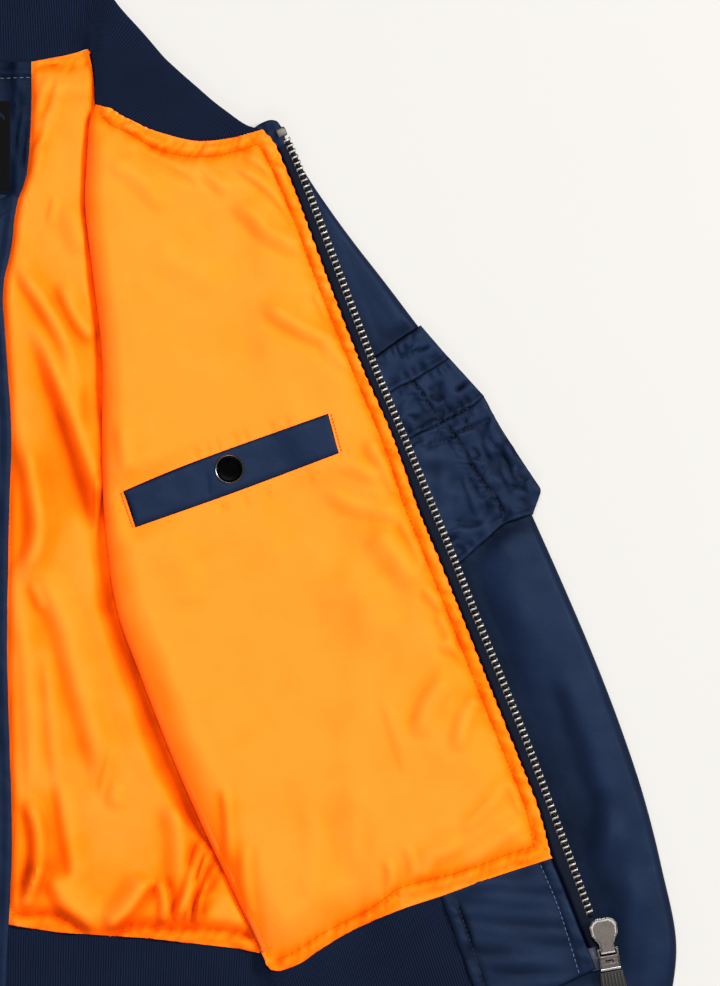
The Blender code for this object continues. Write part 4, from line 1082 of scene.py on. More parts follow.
def back_lining(shell):
    hem = both_sides(BACK_HEM_HALF)
    plan = back_lining_plan(hem)
    x, y = plan[..., 0], plan[..., 1]
    clear = x_on(FOLD_LINE, y)
    margin, ramp = (np.interp(y, BESIDE_FOLD[0], row) for row in BESIDE_FOLD[1:])
    open_part = smooth_step((clear - margin - x) / ramp) * uncovered(plan)
    rise = 4.4 + folds(plan, BACK_FOLDS_PX, 1.3) + 0.5 * ripple(plan, 60, 3) + 0.12 * ripple(plan, 16, 4)
    rise += crease(plan, photo(BESIDE_FOLD_CREASE_PX), 2.6, 8 * PIXEL)
    rise *= smooth_step(nearest(plan, smooth_curve(photo(BACK_STITCH_PX), 60))[0] / 9) * 0.95 + 0.05
    gather = sewn(plan, photo(BACK_STITCH_PX), 0.6, 1.3, 2.2, 9, 2.2, 5.2, 5)
    rise += (gather + 0.9) * smooth_step((np.interp(x, hem[:, 0], hem[:, 1]) + 40 - y) / 20)
    neck_band = sewn(plan, photo(TOP_STITCH_PX)[::-1], 1.8, 1.3, 1.4, 7, 2.2, 5.2, 6)
    near_neck = smooth_step((y - 300) / 15)
    rise = rise * (1 - near_neck * (1 - smooth_step((330 - y) / 22) * 0.9)) + (neck_band + 2.0) * near_neck
    rise = np.maximum(rise * open_part, 0)
    # Painted shade: the back lining darkens in its folds and beside the turned-over front.
    roof = np.where(x > clear, np.interp(y, *FRONT_OVER_BACK), LINING_Z + LINING + rise)
    return laid("back_satin_lining", plan, LINING_Z, LINING, SATIN, "satin", rise, light=openness(roof, 1.9),
                node="back_lining", rests_on=[shell])  # fmt: skip


def neck_facing(lining):
    side = curve(BACK_FACING[:4])
    bottom = both_sides(smooth_curve(BACK_FACING[3:], 8)[::-1])
    plan = patch(lambda s: mirrored(side(s)), side, straight(FACING_TOP), straight(bottom),
                 stops(94, 1.8), stops(108, 1.8))  # fmt: skip
    from_middle = np.abs(plan[..., 0])
    width, height = LABEL_SIZE
    beside_label = smooth_step((from_middle - width / 2 - 0.5) / 4)
    beside_label = np.maximum(beside_label, smooth_step((LABEL_TOP - height - plan[..., 1] - 0.5) / 5))
    beside_label *= smooth_step((BACK_FACING[0][0] - from_middle) / 5)
    rise = 0.5 + 1.9 * beside_label
    rise += 0.5 * ripple(plan, 30, 8, (0.7, 2.4)) + 0.35 * ripple(plan, 12, 7, (0.8, 1.6))
    rise += sewn(plan, photo(FACING_STITCH_PX)[::-1], 0.5, 1.3, 0.8, 6, 0.35, 6, 9)
    for line in FACING_CREASES_PX:
        rise += crease(plan, photo(line), -2.6, 2.2) * beside_label
    return laid("neck_facing", plan, FACING_Z, TRIM, NYLON_TRIM, "nylon", np.maximum(rise, 0),
                node="back_neck_facing", rests_on=[lining])  # fmt: skip


def neck_label(facing):
    width, height = LABEL_SIZE
    x = np.linspace(-width / 2, width / 2, 41)
    y = np.linspace(LABEL_TOP, LABEL_TOP - height, 37)
    plan = np.stack(np.meshgrid(x, y), axis=-1)
    rise = 0.5 + 0.15 * ripple(plan, 30, 12)
    laid("bare_neck_label", plan, LABEL_Z, LABEL, LABEL_CLOTH, "label", rise, node="neck_label",
         rests_on=[facing])  # fmt: skip


# ---------------------------------------------------------------- left front

FRONT_LENGTH = 575
FOLD_RADIUS = SHELL + LINING + GAP
FOLD_MIDDLE_Z = 7.4
FOLD_UNDER = 3.2  # how far the lining turns in below the middle of the fold
NECK_CORNER = (86, 335)
SCALLOP = 0.9
# Width of the rounded strip beside the fold, at rising heights y.
CROWN_WIDTH = ((-250, -90, -20, 60, 300), (27, 26, 20, 15, 13))
GATHERS_ABOVE_WELT_PX = (196, 208, 218, 236, 246, 271, 287)
GATHERS_BELOW_WELT_PX = ((218, 508), (223, 506), (243, 500), (264, 492), (307, 477))


def left_front_grid(rows, columns):
    """Plan of the turned-over front and the way out of its fold, at shares down and across."""
    fold = smooth_curve(FOLD_LINE, rows)
    axis = offset_curve(fold, FOLD_RADIUS)
    out = unit(fold - axis)
    axis[0] -= (0, 4)
    neck = joined(axis[:1], smooth_curve(LEFT_NECK, 40)[3:])
    hem = joined(axis[-1:], joined(smooth_curve(LEFT_HEM, 30), smooth_curve(LEFT_HEM_PLACKET, 12))[1:])
    plan = patch(lambda s: axis, curve(LEFT_EDGE), straight(neck), straight(hem), columns, rows)
    return plan, out


def fold_roll(under, over, out, angles):
    """Columns of points round a fold, from its lower cloth to its upper one."""
    radius = np.maximum((over[:, 2] - under[:, 2]) / 2, 0.2)
    middle = (over[:, 2] + under[:, 2]) / 2
    columns = []
    for angle in angles:
        flat = over[:, :2] + out * (radius * math.cos(angle))[:, None]
        columns.append(np.column_stack([flat, middle + radius * math.sin(angle)]))
    return np.stack(columns, axis=1)


def left_front_panel():
    rows, columns = stops(FRONT_LENGTH, 6), stops(180, 6)
    plan, out = left_front_grid(rows, columns)
    seam = offset_curve(BODY_EDGE, -0.2)
    axis = plan[:, 0]
    in_place = patch(straight(np.vstack([[NECK_CORNER], axis])), straight(seam),
                     straight((NECK_CORNER, seam[0])), straight((axis[-1], seam[-1])),
                     columns, rows)  # fmt: skip
    under = at_height(in_place, left_front_height(in_place) + SHELL / 2)
    over = at_height(plan, rest_height(plan) + SHELL / 2)
    bend = fold_roll(under[:, 0], over[:, 0], out, np.radians((-80, -60, -40, -20, 0, 20, 40, 60, 80)))
    grid = np.concatenate([under[:, ::-1], bend, over], axis=1)
    return wall("left_front_panel", grid, SHELL * 0.9, NYLON, "nylon", up=False, node="left_front_shell",
                held="folded", rests_on=["back_lining"])  # fmt: skip


def left_front_lining(shell):
    rows, columns = stops(FRONT_LENGTH, 2.15), stops(190, 1.7)
    plan, out = left_front_grid(rows, columns)
    outward = unit(plan[:, -1] - plan[:, -5])
    scallop = SCALLOP * outward * gathers(length_along(plan[:, -1]), 1.1, 1.6, 9)[:, None]
    plan = plan + scallop[:, None] * smooth_step((columns - 0.96) / 0.04)[None, :, None]
    base = rest_height(plan) + SHELL + 2 * GAP + LINING / 2
    rise = front_relief(plan)
    wide = np.interp(plan[..., 1], *CROWN_WIDTH)
    from_fold = away_from(plan, smooth_curve(FOLD_LINE, 80))
    z = FOLD_MIDDLE_Z + (base + rise - FOLD_MIDDLE_Z) * quarter_round(from_fold, wide)
    start = plan[:, 0]
    fold = smooth_curve(FOLD_LINE, rows)
    reach = np.linalg.norm(start - fold, axis=1)
    bend = []
    for angle in np.radians(range(-75, 0, 15)):
        flat = start + out * (reach * math.cos(angle))[:, None]
        bend.append(at_height(flat, FOLD_MIDDLE_Z + FOLD_UNDER * math.sin(angle)))
    top = base[:, 0] + rise[:, 0] - FOLD_MIDDLE_Z
    for share in (0, 0.02, 0.06, 0.13, 0.23, 0.37, 0.55, 0.76):
        flat = fold + (start - fold) * share
        bend.append(at_height(flat, FOLD_MIDDLE_Z + top * quarter_round(share * reach, wide[:, 0])))
    grid = np.concatenate([np.stack(bend, axis=1), at_height(plan, z)], axis=1)
    light = front_light(openness(grid[..., 2], 1.9), plan, len(bend), from_fold / wide)
    return wall("left_front_satin_lining", grid, LINING, SATIN, "satin", light=light,
                node="left_front_lining", held="folded", rests_on=[shell])  # fmt: skip


def front_light(light, plan, first, from_fold):
    """Painted light and shade of the turned-over lining: its openness, a little less on its fold, in its
    puckers and under its fold.

    first is the number of columns round the fold. from_fold is 1 where the rounded strip beside it ends."""
    light[:, : first + 5] = light[:, first + 5 : first + 6]
    light[:, first:] *= 1 - 0.06 * (1 - np.clip(from_fold, 0, 1)) ** 1.1
    puckers = sewn(plan, photo(FRONT_STITCH_PX), 0, 1, 0, 7.5, 1.0, 5.2, 31)
    groove = bell(nearest(plan, smooth_curve(photo(FRONT_STITCH_PX), 160))[0], 1.5)
    light[:, first:] *= 1 + 0.08 * puckers - 0.04 * groove
    light[:, :5] *= 0.92
    light[:, 5:first] *= 0.955
    return light


def front_relief(plan):
    """Rise of the turned-over front's lining above its solid's underside."""
    from_fold = away_from(plan, smooth_curve(FOLD_LINE, 60))
    from_stitch = nearest(plan, smooth_curve(photo(FRONT_STITCH_PX), 160))[0]
    held = smooth_step(np.abs(from_stitch) / 24) ** 0.7
    loft = np.interp(from_fold, (0, 20, 60, 120), (6.0, 6.0, 4.2, 2.8))
    rise = loft * held + folds(plan, FRONT_FOLDS_PX, 1.05) * smooth_step(np.abs(from_stitch) / 5)
    rise += (0.7 * ripple(plan, 85, 21) + 0.15 * ripple(plan, 26, 22)) * held
    welt = np.array(WELT_CORNERS, float)
    calm = smooth_step(np.where(inside(plan, welt), 0, away_from(plan, closed(welt))) / 16)
    rise = 3.4 * (1 - calm) + rise * calm
    rise = np.where(from_stitch > 0, rise, 0) + 0.9
    rise += sewn(plan, photo(FRONT_STITCH_PX), 0.5, 0.9, 2.1, 7.5, 2.6, 5.2, 31)
    for x in GATHERS_ABOVE_WELT_PX:
        y = 458 - (x - 196) * 0.335
        rise += crease(plan, photo(((x - 4, y - 14), (x, y - 5), (x + 2, y + 5))), -0.6, 1.4)
    for x, y in GATHERS_BELOW_WELT_PX:
        rise += crease(plan, photo(((x - 1, y - 6), (x + 2, y), (x + 5, y + 9))), -0.6, 1.4)
    return np.maximum(rise, 0.1)


# ---------------------------------------------------------------- right front

FRONT_HEM_Y = -266
FLAP_BOTTOM = ((WIND_FLAP_INNER_X, -338), (30, -338))
RIGHT_STITCH_X = -19
RIGHT_CREASES = (
    (-1.6, 9, ((-70, 235), (-88, 180), (-96, 120))),
    (1.5, 10, ((-52, 225), (-68, 165), (-74, 100))),
    (-1.3, 8, ((-190, 190), (-150, 160), (-110, 140))),
    (1.4, 9, ((-196, 150), (-160, 128), (-118, 118))),
    (-1.6, 9, ((-222, 60), (-180, 40), (-140, 32))),
    (1.5, 10, ((-236, 30), (-190, 8), (-150, 2))),
    (-1.2, 10, ((-60, 40), (-78, -20), (-70, -90))),
    (1.3, 12, ((-110, -20), (-124, -80), (-116, -150))),
    (-1.5, 8, ((-150, -150), (-140, -200), (-146, -250))),
    (1.4, 8, ((-128, -170), (-120, -215), (-124, -255))),
    (-1.4, 7, ((-70, -190), (-62, -225), (-66, -258))),
    (1.3, 7, ((-92, -200), (-96, -232), (-92, -260))),
    (-1.3, 8, ((-210, -150), (-190, -190), (-184, -240))),
)


def right_front():
    seam = mirrored(offset_curve(BODY_EDGE, -0.2))
    shoulder = spaced((seam[0], mirrored([NECK_CORNER])[0]), 4)
    top = joined(shoulder, smooth_curve(RIGHT_NECK, 24))
    hem = np.array(FRONT_HEM, float)
    plan = patch(straight(seam), straight((RIGHT_NECK[-1], FRONT_HEM[-1])), straight(top), straight(hem),
                 stops(240, 4.0), stops(590, 4.2))  # fmt: skip
    rise = 1.4 + creases(plan, RIGHT_CREASES) + 0.5 * ripple(plan, 60, 41) + 0.15 * ripple(plan, 20, 42)
    rise *= smooth_step(np.minimum(away_from(plan, RIGHT_EDGE), plan[..., 1] - FRONT_HEM_Y) / 26)
    zip_line = ((RIGHT_STITCH_X, 236), (RIGHT_STITCH_X, -262))
    rise += sewn(plan, zip_line, 0.9, 1.5, 0.0, 10, 0.35, 11, 43) * smooth_step((plan[..., 0] + 40) / 10)
    for line, seed in ((mirrored(BODY_EDGE), 44), (hem, 45)):
        distance, along = nearest(plan, line)
        rise -= 0.5 * bell(distance, 7) * gathers(along, 2.1, 2, 17, seed)
    return laid("right_front_panel", plan, right_front_height(plan), SHELL, NYLON, "nylon",
                np.maximum(rise, 0), node="right_front_shell", rests_on=["wind_flap"])  # fmt: skip


def wind_flap():
    inner = straight(((WIND_FLAP_INNER_X, 241), FLAP_BOTTOM[0]))
    plan = patch(inner, curve(WIND_FLAP_EDGE), straight(WIND_FLAP_TOP), straight(FLAP_BOTTOM),
                 stops(52, 2.2), stops(580, 3.0))  # fmt: skip
    rise = 0.6 + 0.35 * ripple(plan, 26, 51, (1, 1.6))
    seam = offset_curve(smooth_curve(WIND_FLAP_EDGE, 60), -6)[::-1]
    rise += sewn(plan, seam, 0.5, 1.4, 0.8, 6, 0.6, 10, 52)
    rise *= smooth_step((plan[..., 0] + 4) / 8) * 0.9 + 0.1
    rise = np.minimum(np.maximum(rise, 0), np.where(plan[..., 0] < 0, 0.2, 9))
    laid("wind_flap_panel", plan, FLAP_Z, LINING, NYLON, "nylon", rise, node="wind_flap",
         rests_on=["back_lining"])  # fmt: skip


# ---------------------------------------------------------------- rib knit

RIB_PITCH = 1.65
RIB_RELIEF = 0.26
RIB_RIM = 1.4
WALE = (-1.0, 0.45, 1.0, 0.45)  # heights of the columns of points that make up one wale
KNIT_WALL = RIB * 0.85
COLLAR_FOLD = ((-86, 338), (-78, 391))
HEM_FOLD = ((-204, -263), (-198, -343))
HEM_FRONT_X = (-85.6, -110, -135, -165, -198)
HEM_BACK_X = (-198, -165, -125, -64, 0, 64, 125, 165, 190)
# Where the bands turn over with the left front: seam point, free point and share of the height below them.
COLLAR_TURN = (
    ((80, 336.6), (83, 391), 0), ((86, 337.5), (92, 386), 0.75), ((87.5, 328), (103, 368), 1),
    ((89, 316), (121, 348), 1),
)  # fmt: skip
HEM_TURN = (((197.5, -256), (204, -342), 0), ((202.5, -262), (214, -345), 0.55))
LEFT_HEM_SEAM = offset_curve(joined(smooth_curve(LEFT_HEM, 9), smooth_curve(LEFT_HEM_PLACKET, 6)), -SEAM_LAP)
RIGHT_PLACKET_TOP = ((-86, -267), (CENTRE_FRONT_X, -267))
RIGHT_PLACKET_BOTTOM = ((-86, -347), (CENTRE_FRONT_X, -346))


def softened(line, reach):
    """The line averaged over reach points to both sides, with its ends kept."""
    weights = np.hanning(2 * reach + 3)[1:-1]
    weights /= weights.sum()
    ahead = 2 * line[:1] - line[reach:0:-1]
    behind = 2 * line[-1:] - line[-2 : -reach - 2 : -1]
    longer = np.vstack([ahead, line, behind])
    return np.stack([np.convolve(longer[:, k], weights, mode="valid") for k in range(line.shape[1])], axis=1)


def wales(columns, shares, depth):
    """Relief of a rib knit, between -1 and 1, that dies away at both rims of the band."""
    profile = np.array(WALE)[np.arange(columns) % len(WALE)]
    return profile[None] * smooth_step(np.minimum(shares, 1 - shares) * depth / 2.2)[:, None]


def band(stations, depth):
    """Middle grid and relief of a band of rib, from stations of (seam point, free point, two heights)."""
    seam = np.array([(*station[0], station[2]) for station in stations], float)
    free = np.array([(*station[1], station[3]) for station in stations], float)
    places = np.linspace(0, len(stations) - 1, 40 * len(stations))
    run = length_along((through(seam, places) + through(free, places)) / 2)
    columns = int(run[-1] / RIB_PITCH) * len(WALE) + 1
    even = np.interp(np.linspace(0, run[-1], columns), run, places)
    a, b = (softened(through(line, even), 24) for line in (seam, free))
    shares = stops(depth, 10.0, RIB_RIM)
    grid = a[None] * (1 - shares[:, None, None]) + b[None] * shares[:, None, None]
    return grid, wales(columns, shares, depth)


def lapped(seam, free):
    """A station's two points, with the one on the seam moved under the panel that it is sewn to."""
    seam, free = np.array(seam, float), np.array(free, float)
    run = free - seam
    return seam + run * (SEAM_LAP / max(np.linalg.norm(run), abs(SEAM_LAP))), free


def folded_end(seam, free, low, high):
    """Stations round the fold at a band's right end, from the height of its upper layer down to the lower."""
    radius = (high - low) / 2
    stations = []
    for angle in np.radians((45, 0, -45)):
        shift = np.array((-radius * math.cos(angle), 0))
        z = (low + high) / 2 + radius * math.sin(angle)
        stations.append((seam + shift, free + shift, z, z))
    return stations


def turned_over(rows):
    """Stations on what lies below, from rows of (seam point, free point, share of that height)."""
    stations = []
    for seam, free, lift in rows:
        stations.append((seam, free, *(RIB / 2 + lift * height_at(point) for point in (seam, free))))
    return stations


def knitted(name, node, stations, depth, uneven, wavelength, seed, rests_on):
    grid, relief = band(stations, depth)
    normals = normals_of(grid)
    if normals[..., 2].mean() < 0:
        normals = -normals
    middle = np.sin(np.pi * np.linspace(0, 1, grid.shape[0]))[:, None]
    swell = (0.9 + uneven * ripple(grid[..., :2], wavelength, seed)) * middle
    grid = grid + normals * (RIB_RELIEF * relief + swell)[..., None]
    # Painted shade: the knit darkens in its rib valleys and where it sees less of the sky.
    light = (0.85 + 0.12 * relief) * (0.5 + 0.5 * openness(grid[..., 2], 3.0))
    wall(name, grid, KNIT_WALL, KNIT, "rib", normals=normals, up=False, light=light, node=node, held="folded",
         rests_on=[rests_on])  # fmt: skip


def collar():
    low, high = RIB / 2, RIGHT_FRONT_Z + RIB / 2
    right = zip(smooth_curve(RIGHT_NECK, 8)[::-1], smooth_curve(COLLAR_RIGHT_EDGE, 8)[::-1])
    stations = [(*lapped(seam, free), high, high) for seam, free in right]
    stations += folded_end(*COLLAR_FOLD, low, high)
    for x, y in both_sides(NECK_HALF)[:-1]:
        stations.append((*lapped((x, y), (x * 0.94, y + COLLAR_DEPTH)), low, low))
    left = zip(smooth_curve(LEFT_NECK, 14), smooth_curve(COLLAR_LEFT_EDGE, 14))
    stations += turned_over(COLLAR_TURN) + turned_over([(*lapped(seam, free), 1) for seam, free in left])
    knitted("collar_rib_band", "collar_rib", stations, COLLAR_DEPTH, 0.3, 70, 61, "left_front_shell")


def hem_band():
    front, back = np.array(FRONT_HEM, float), np.array(BACK_HEM_HALF, float)
    start, low = HEM_FRONT_X[0], RIB / 2
    stations = []
    for x in HEM_FRONT_X:
        y = np.interp(x, front[:, 0], front[:, 1]) - SEAM_LAP
        z = float(right_hem_level(x)) + low
        stations.append(((x, y), ((x - start) * 0.97 + start, y - RIB_DEPTH), z, z))
    stations += folded_end(*HEM_FOLD, low, LEFT_FRONT_Z + low)
    for x in HEM_BACK_X:
        y = np.interp(abs(x), back[:, 0], back[:, 1]) - SEAM_LAP
        lap = 3 if x > 120 else 1.5
        stations.append(((x, y + lap), (x * 0.98, y - RIB_DEPTH), low, low))
    left = zip(LEFT_HEM_SEAM[1:9], smooth_curve(RIB_LEFT_EDGE, 9)[1:])
    stations += turned_over(HEM_TURN)
    stations += turned_over([(seam - (0.4, 0), free - (0.6, 0), 1) for seam, free in left])
    knitted("hem_rib_band", "hem_rib", stations, RIB_DEPTH, 0.4, 60, 71, "left_sleeve")


def right_hem_placket():
    plan = strip(straight(RIGHT_PLACKET_TOP), straight(RIGHT_PLACKET_BOTTOM), stops(PLACKET_WIDTH, 2.4),
                 stops(RIB_DEPTH, 2.4))  # fmt: skip
    rise = 0.5 + 0.35 * ripple(plan, 24, 81, (2.0, 1.0))
    for x, swell, pucker, seed in ((-78, 0.3, 0.4, 82), (RIGHT_STITCH_X, 0.0, 0.3, 83)):
        rise += sewn(plan, ((x, -266), (x, -347)), 0.6, 1.4, swell, 6, pucker, 7, seed)
    laid("right_hem_placket_panel", plan, right_hem_level(plan[..., 0]), SHELL, NYLON, "nylon",
         np.maximum(rise, 0), node="right_hem_placket", rests_on=["wind_flap"])  # fmt: skip


def left_hem_placket():
    top = LEFT_HEM_SEAM[8:]
    plan = patch(curve((top[0], *PLACKET_INNER[1:])), curve((top[-1], *LEFT_EDGE_BELOW[1:])), straight(top),
                 curve(PLACKET_BOTTOM), stops(PLACKET_WIDTH, 1.8), stops(RIB_DEPTH, 1.8))  # fmt: skip
    rise = 1.0 + 0.7 * ripple(plan, 15, 91, (3.0, 0.9)) + 0.6 * ripple(plan, 40, 92)
    rise += sewn(plan, photo(PLACKET_DARK_STITCH_PX), 1.2, 1.5, 1.2, 8, 1.1, 6, 93)
    rise += sewn(plan, photo(PLACKET_STITCH_PX)[::-1], 0.9, 1.4, 0.3, 7, 0.8, 6, 94)
    return laid("left_hem_placket_panel", plan, rest_height(plan), SHELL + LINING, NYLON, "nylon",
                np.maximum(rise, 0), node="left_hem_placket", rests_on=["left_sleeve"])  # fmt: skip


# ---------------------------------------------------------------- sleeves

SLEEVE_SEAM = offset_curve(ARMHOLE_EDGE, SEAM_GAP - SEAM_TUCK)
TUBE_BEND = 7  # columns of points round each edge of a flat tube
CUFF_RELIEF = 0.38
LEFT_SLEEVE_CREASES = (
    (1.6, 10, ((270, 150), (262, 110), (275, 80))),
    (-1.2, 8, ((235, 225), (262, 185), (292, 150))),
    (1.2, 9, ((310, 128), (330, 100), (345, 72))),
    (2.2, 17, ((352, -5), (362, -70), (372, -130))),
    (-1.8, 13, ((338, -20), (350, -80), (362, -140))),
    (1.8, 12, ((395, -60), (418, -120), (436, -180))),
    (-1.6, 12, ((385, -60), (402, -120), (420, -175))),
    (2.4, 8, ((407, -208), (424, -188), (436, -168)), 0.3),
    (-1.6, 7, ((398, -192), (414, -170), (426, -148))),
    (1.8, 9, ((452, -200), (440, -240), (430, -280))),
    (-1.6, 9, ((300, -150), (330, -190), (350, -240))),
    (1.8, 10, ((320, -140), (352, -185), (368, -235))),
    (1.6, 8, ((372, -300), (392, -270), (400, -235))),
    (-1.4, 7, ((400, -300), (412, -275), (415, -250))),
    (1.4, 7, ((430, -300), (436, -275), (440, -245))),
)
RIGHT_SLEEVE_CREASES = (
    (1.9, 11, ((262, 180), (280, 130), (310, 90))),
    (-1.7, 9, ((245, 150), (268, 105), (300, 68))),
    (1.8, 10, ((255, 95), (285, 60), (320, 38))),
    (-1.6, 9, ((292, 30), (325, 12), (362, 4))),
    (2.0, 12, ((298, -10), (330, -40), (368, -52))),
    (-1.8, 10, ((290, -60), (320, -85), (360, -100))),
    (1.8, 12, ((352, 60), (375, 10), (392, -40))),
    (2.0, 12, ((300, -110), (335, -140), (380, -150))),
    (-1.7, 10, ((372, -60), (392, -110), (410, -160))),
    (1.8, 10, ((402, -80), (424, -130), (438, -180))),
    (-1.6, 9, ((300, -160), (335, -195), (372, -215))),
    (1.8, 9, ((330, -210), (356, -240), (380, -275))),
    (-1.6, 8, ((390, -215), (402, -250), (404, -290))),
    (1.8, 8, ((422, -215), (428, -255), (426, -298))),
    (-1.4, 7, ((446, -220), (448, -255), (444, -290))),
)


def tube(inner, outer, hollow, thickness, flat_columns):
    """Middle grid of a flat tube of cloth on the surface between two edges in plan, and each column's kind.

    Rows run along the tube. Columns run along the lower wall, up round the outer edge and back on top."""
    inner_in = offset_curve(inner, thickness + hollow(inner) / 2)
    outer_in = offset_curve(outer, -thickness - hollow(outer) / 2)
    share = np.linspace(0, 1, flat_columns)[None, :, None]
    flat = inner_in[:, None] * (1 - share) + outer_in[:, None] * share
    low = at_height(flat, thickness / 2)
    high = at_height(flat, 1.5 * thickness + hollow(flat))
    angles = np.linspace(-math.pi / 2, math.pi / 2, TUBE_BEND + 2)[1:-1]
    outer_bend = fold_roll(low[:, -1], high[:, -1], unit(outer - outer_in), angles)
    inner_bend = fold_roll(low[:, 0], high[:, 0], unit(inner - inner_in), angles[::-1])
    kinds = np.repeat((0, 0.5, 1, 0.5), (flat_columns, TUBE_BEND, flat_columns, TUBE_BEND))
    return np.concatenate([low, outer_bend, high[:, ::-1], inner_bend], axis=1), kinds


def sleeve_edges():
    """Points of the left sleeve's inner and outer edge, from the shoulder to the wrist."""
    edges = (np.vstack([SLEEVE_SEAM[:-1], smooth_curve(SLEEVE_INNER, 8)]), SLEEVE_OUT.copy())
    for edge in edges:
        edge[0] = edge[0] * 0.7 + edge[1] * 0.3
    return edges


def sleeve_relief(plan, outline, wrist, table, seed):
    rise = 5.5 + 1.5 * creases(plan, table) + 0.9 * ripple(plan, 70, seed) + 0.3 * ripple(plan, 22, seed + 1)
    from_seam, along_seam = nearest(plan, SLEEVE_SEAM)
    from_wrist, along_wrist = nearest(plan, wrist)
    rise *= smooth_step(np.abs(from_seam) / 30) * smooth_step(np.abs(from_wrist) / 22)
    rise *= quarter_round(away_from(plan, outline), 42)
    rise -= 0.8 * bell(from_wrist, 12) * gathers(along_wrist, 1.5, 1.5, 9)
    rise -= 0.5 * bell(from_seam, 8) * gathers(along_seam, 2.2, 2, 19)
    return np.maximum(rise, -0.9)


def below_left_front(plan):
    """For the left sleeve: the share of its folds that shows, its shade, and the height of what covers it."""
    turned = np.vstack([smooth_curve(FOLD_LINE, 20), smooth_curve((*TEETH_LINE, TEETH_LINE_END), 40)[::-1]])
    in_pocket, in_front = depth_inside(plan, POCKET_PLAN), depth_inside(plan, turned)
    shown = np.maximum(smooth_step((-in_pocket - 1) / 9) * smooth_step((-in_front - 3) / 34), 0.1)
    shaded = 0.5 * smooth_step((in_pocket - 0.5) / 3)
    cover = np.maximum(2.5 * smooth_step((in_pocket + 2) / 5), 5 * smooth_step((in_front + 4) / 6))
    return shown, shaded, cover


def cuff_shape(wrist):
    """Grid, normals and relief of the left cuff."""
    across = unit(wrist[1] - wrist[0])
    down = np.array((across[1], -across[0]))
    start = wrist - down * SEAM_LAP_OVER + (across, -across)
    end = wrist.mean(axis=0) + down * CUFF_DEPTH + np.outer((-0.5, 0.5), across) * CUFF_WIDTH
    rows = stops(CUFF_DEPTH, 9.0, RIB_RIM)
    edges = [spaced(edge, rows) for edge in zip(start, end)]
    grid, _ = tube(*edges, lambda points: np.full(points.shape[:-1], CUFF_HOLLOW), RIB, 190)
    relief = wales(grid.shape[1], rows, CUFF_DEPTH)
    normals = normals_of(grid, True)
    return grid + normals * (CUFF_RELIEF * relief)[..., None], normals, relief


def sleeves():
    inner, outer = sleeve_edges()
    wrist = np.array([inner[-1], outer[-1]])

    def air(points):
        opening = GAP + (SLEEVE_HOLLOW - GAP) * smooth_step(away_from(points, SLEEVE_SEAM) / 45)
        return CUFF_HOLLOW + (opening - CUFF_HOLLOW) * smooth_step(away_from(points, wrist) / 40)

    places = np.interp(stops(650, 4.3), np.linspace(0, 1, len(inner)), np.arange(len(inner), dtype=float))
    grid, kinds = tube(through(inner, places), through(outer, places), air, SHELL, 56)
    plan, outline = grid[..., :2], joined(outer, inner[::-1])
    cuff, cuff_normals, relief = cuff_shape(wrist)
    shared = {"wrap": True, "up": False, "held": "folded", "rests_on": ["back_shell"]}
    sides = (("left", 1, LEFT_SLEEVE_CREASES, 101), ("right", -1, RIGHT_SLEEVE_CREASES, 111))
    for side, sign, table, seed in sides:
        shown, shaded, cover = below_left_front(plan) if side == "left" else (1, 0, 0)
        rise = sleeve_relief(plan, outline, wrist, table, seed) * kinds * shown
        z = grid[..., 2] + rise
        light = openness(z + cover, 3.5) * (1 - shaded)
        wall(f"{side}_sleeve_panel", at_height(plan, z) * (sign, 1, 1), SHELL * 0.96, NYLON, "nylon",
             light=light, node=f"{side}_sleeve", **shared)  # fmt: skip
        # The cuff's light darkens its rib valleys as painted shade.
        wall(f"{side}_cuff_band", cuff * (sign, 1, 1), KNIT_WALL, KNIT, "rib", light=0.8 + 0.2 * relief,
             normals=cuff_normals * (sign, 1, 1), node=f"{side}_cuff", **shared)  # fmt: skip


# ---------------------------------------------------------------- utility pocket

PEN_BAND_STITCH_PX = ((378, 356), (392, 346), (404, 337))
POCKET_TOP_STITCHES_PX = (
    ((469, 408), (443, 422), (432, 428), (415.5, 436)),
    ((413, 382), (423, 394), (434, 414), (443, 423)),
)
POCKET_TOP_CREASES_PX = (
    ((426, 397), (436, 398), (446, 397)),
    ((404, 416), (420, 417), (437, 416)),
    ((452, 392), (462, 387), (470, 378)),
)
POCKET_BODY_STITCHES_PX = (
    ((489.5, 420.4), (458, 432.5), (448.8, 440), (430, 445)),
    ((443, 423), (455, 436), (478, 475), (499, 503), (504, 519)),
)
POCKET_BODY_CREASES_PX = (
    (1.5, ((500, 436), (512, 462), (520, 492))),
    (-1.2, ((478, 440), (496, 470), (514, 500))),
    (-1.2, ((510, 432), (524, 462), (532, 490))),
    (-1.5, ((452, 520), (468, 524), (486, 523))),
    (0.9, ((462, 470), (470, 495), (480, 520))),
    (-1.3, ((487, 434), (492, 443), (500, 450))),
    (-1.1, ((494, 424), (503, 434), (508, 446))),
    (-1.2, ((500, 452), (508, 462), (512, 474))),
    (-1.2, ((512, 470), (522, 478), (530, 481))),
    (-1.1, ((508, 488), (518, 486), (528, 491))),
)


def crumpled(plan, count, seed, lean, low, high):
    """Short sharp wrinkles at random over a panel, between two shares of its width."""
    draw = np.random.default_rng(seed)
    rows, columns = plan.shape[:2]
    rise = np.zeros((rows, columns))
    for _ in range(count):
        middle = plan[draw.integers(4, rows - 4), int(columns * draw.uniform(low, high))]
        turn, length = draw.normal(lean, 0.45), draw.uniform(4, 9)
        along = np.array((math.cos(turn), math.sin(turn))) * length
        bow = np.array((-along[1], along[0])) * draw.uniform(-0.3, 0.3)
        line = np.stack([middle - along, middle + bow, middle + along])
        rise += crease(plan, line, draw.choice((-1.0, 0.8)) * draw.uniform(0.6, 1.2), draw.uniform(0.9, 1.7))
    return rise


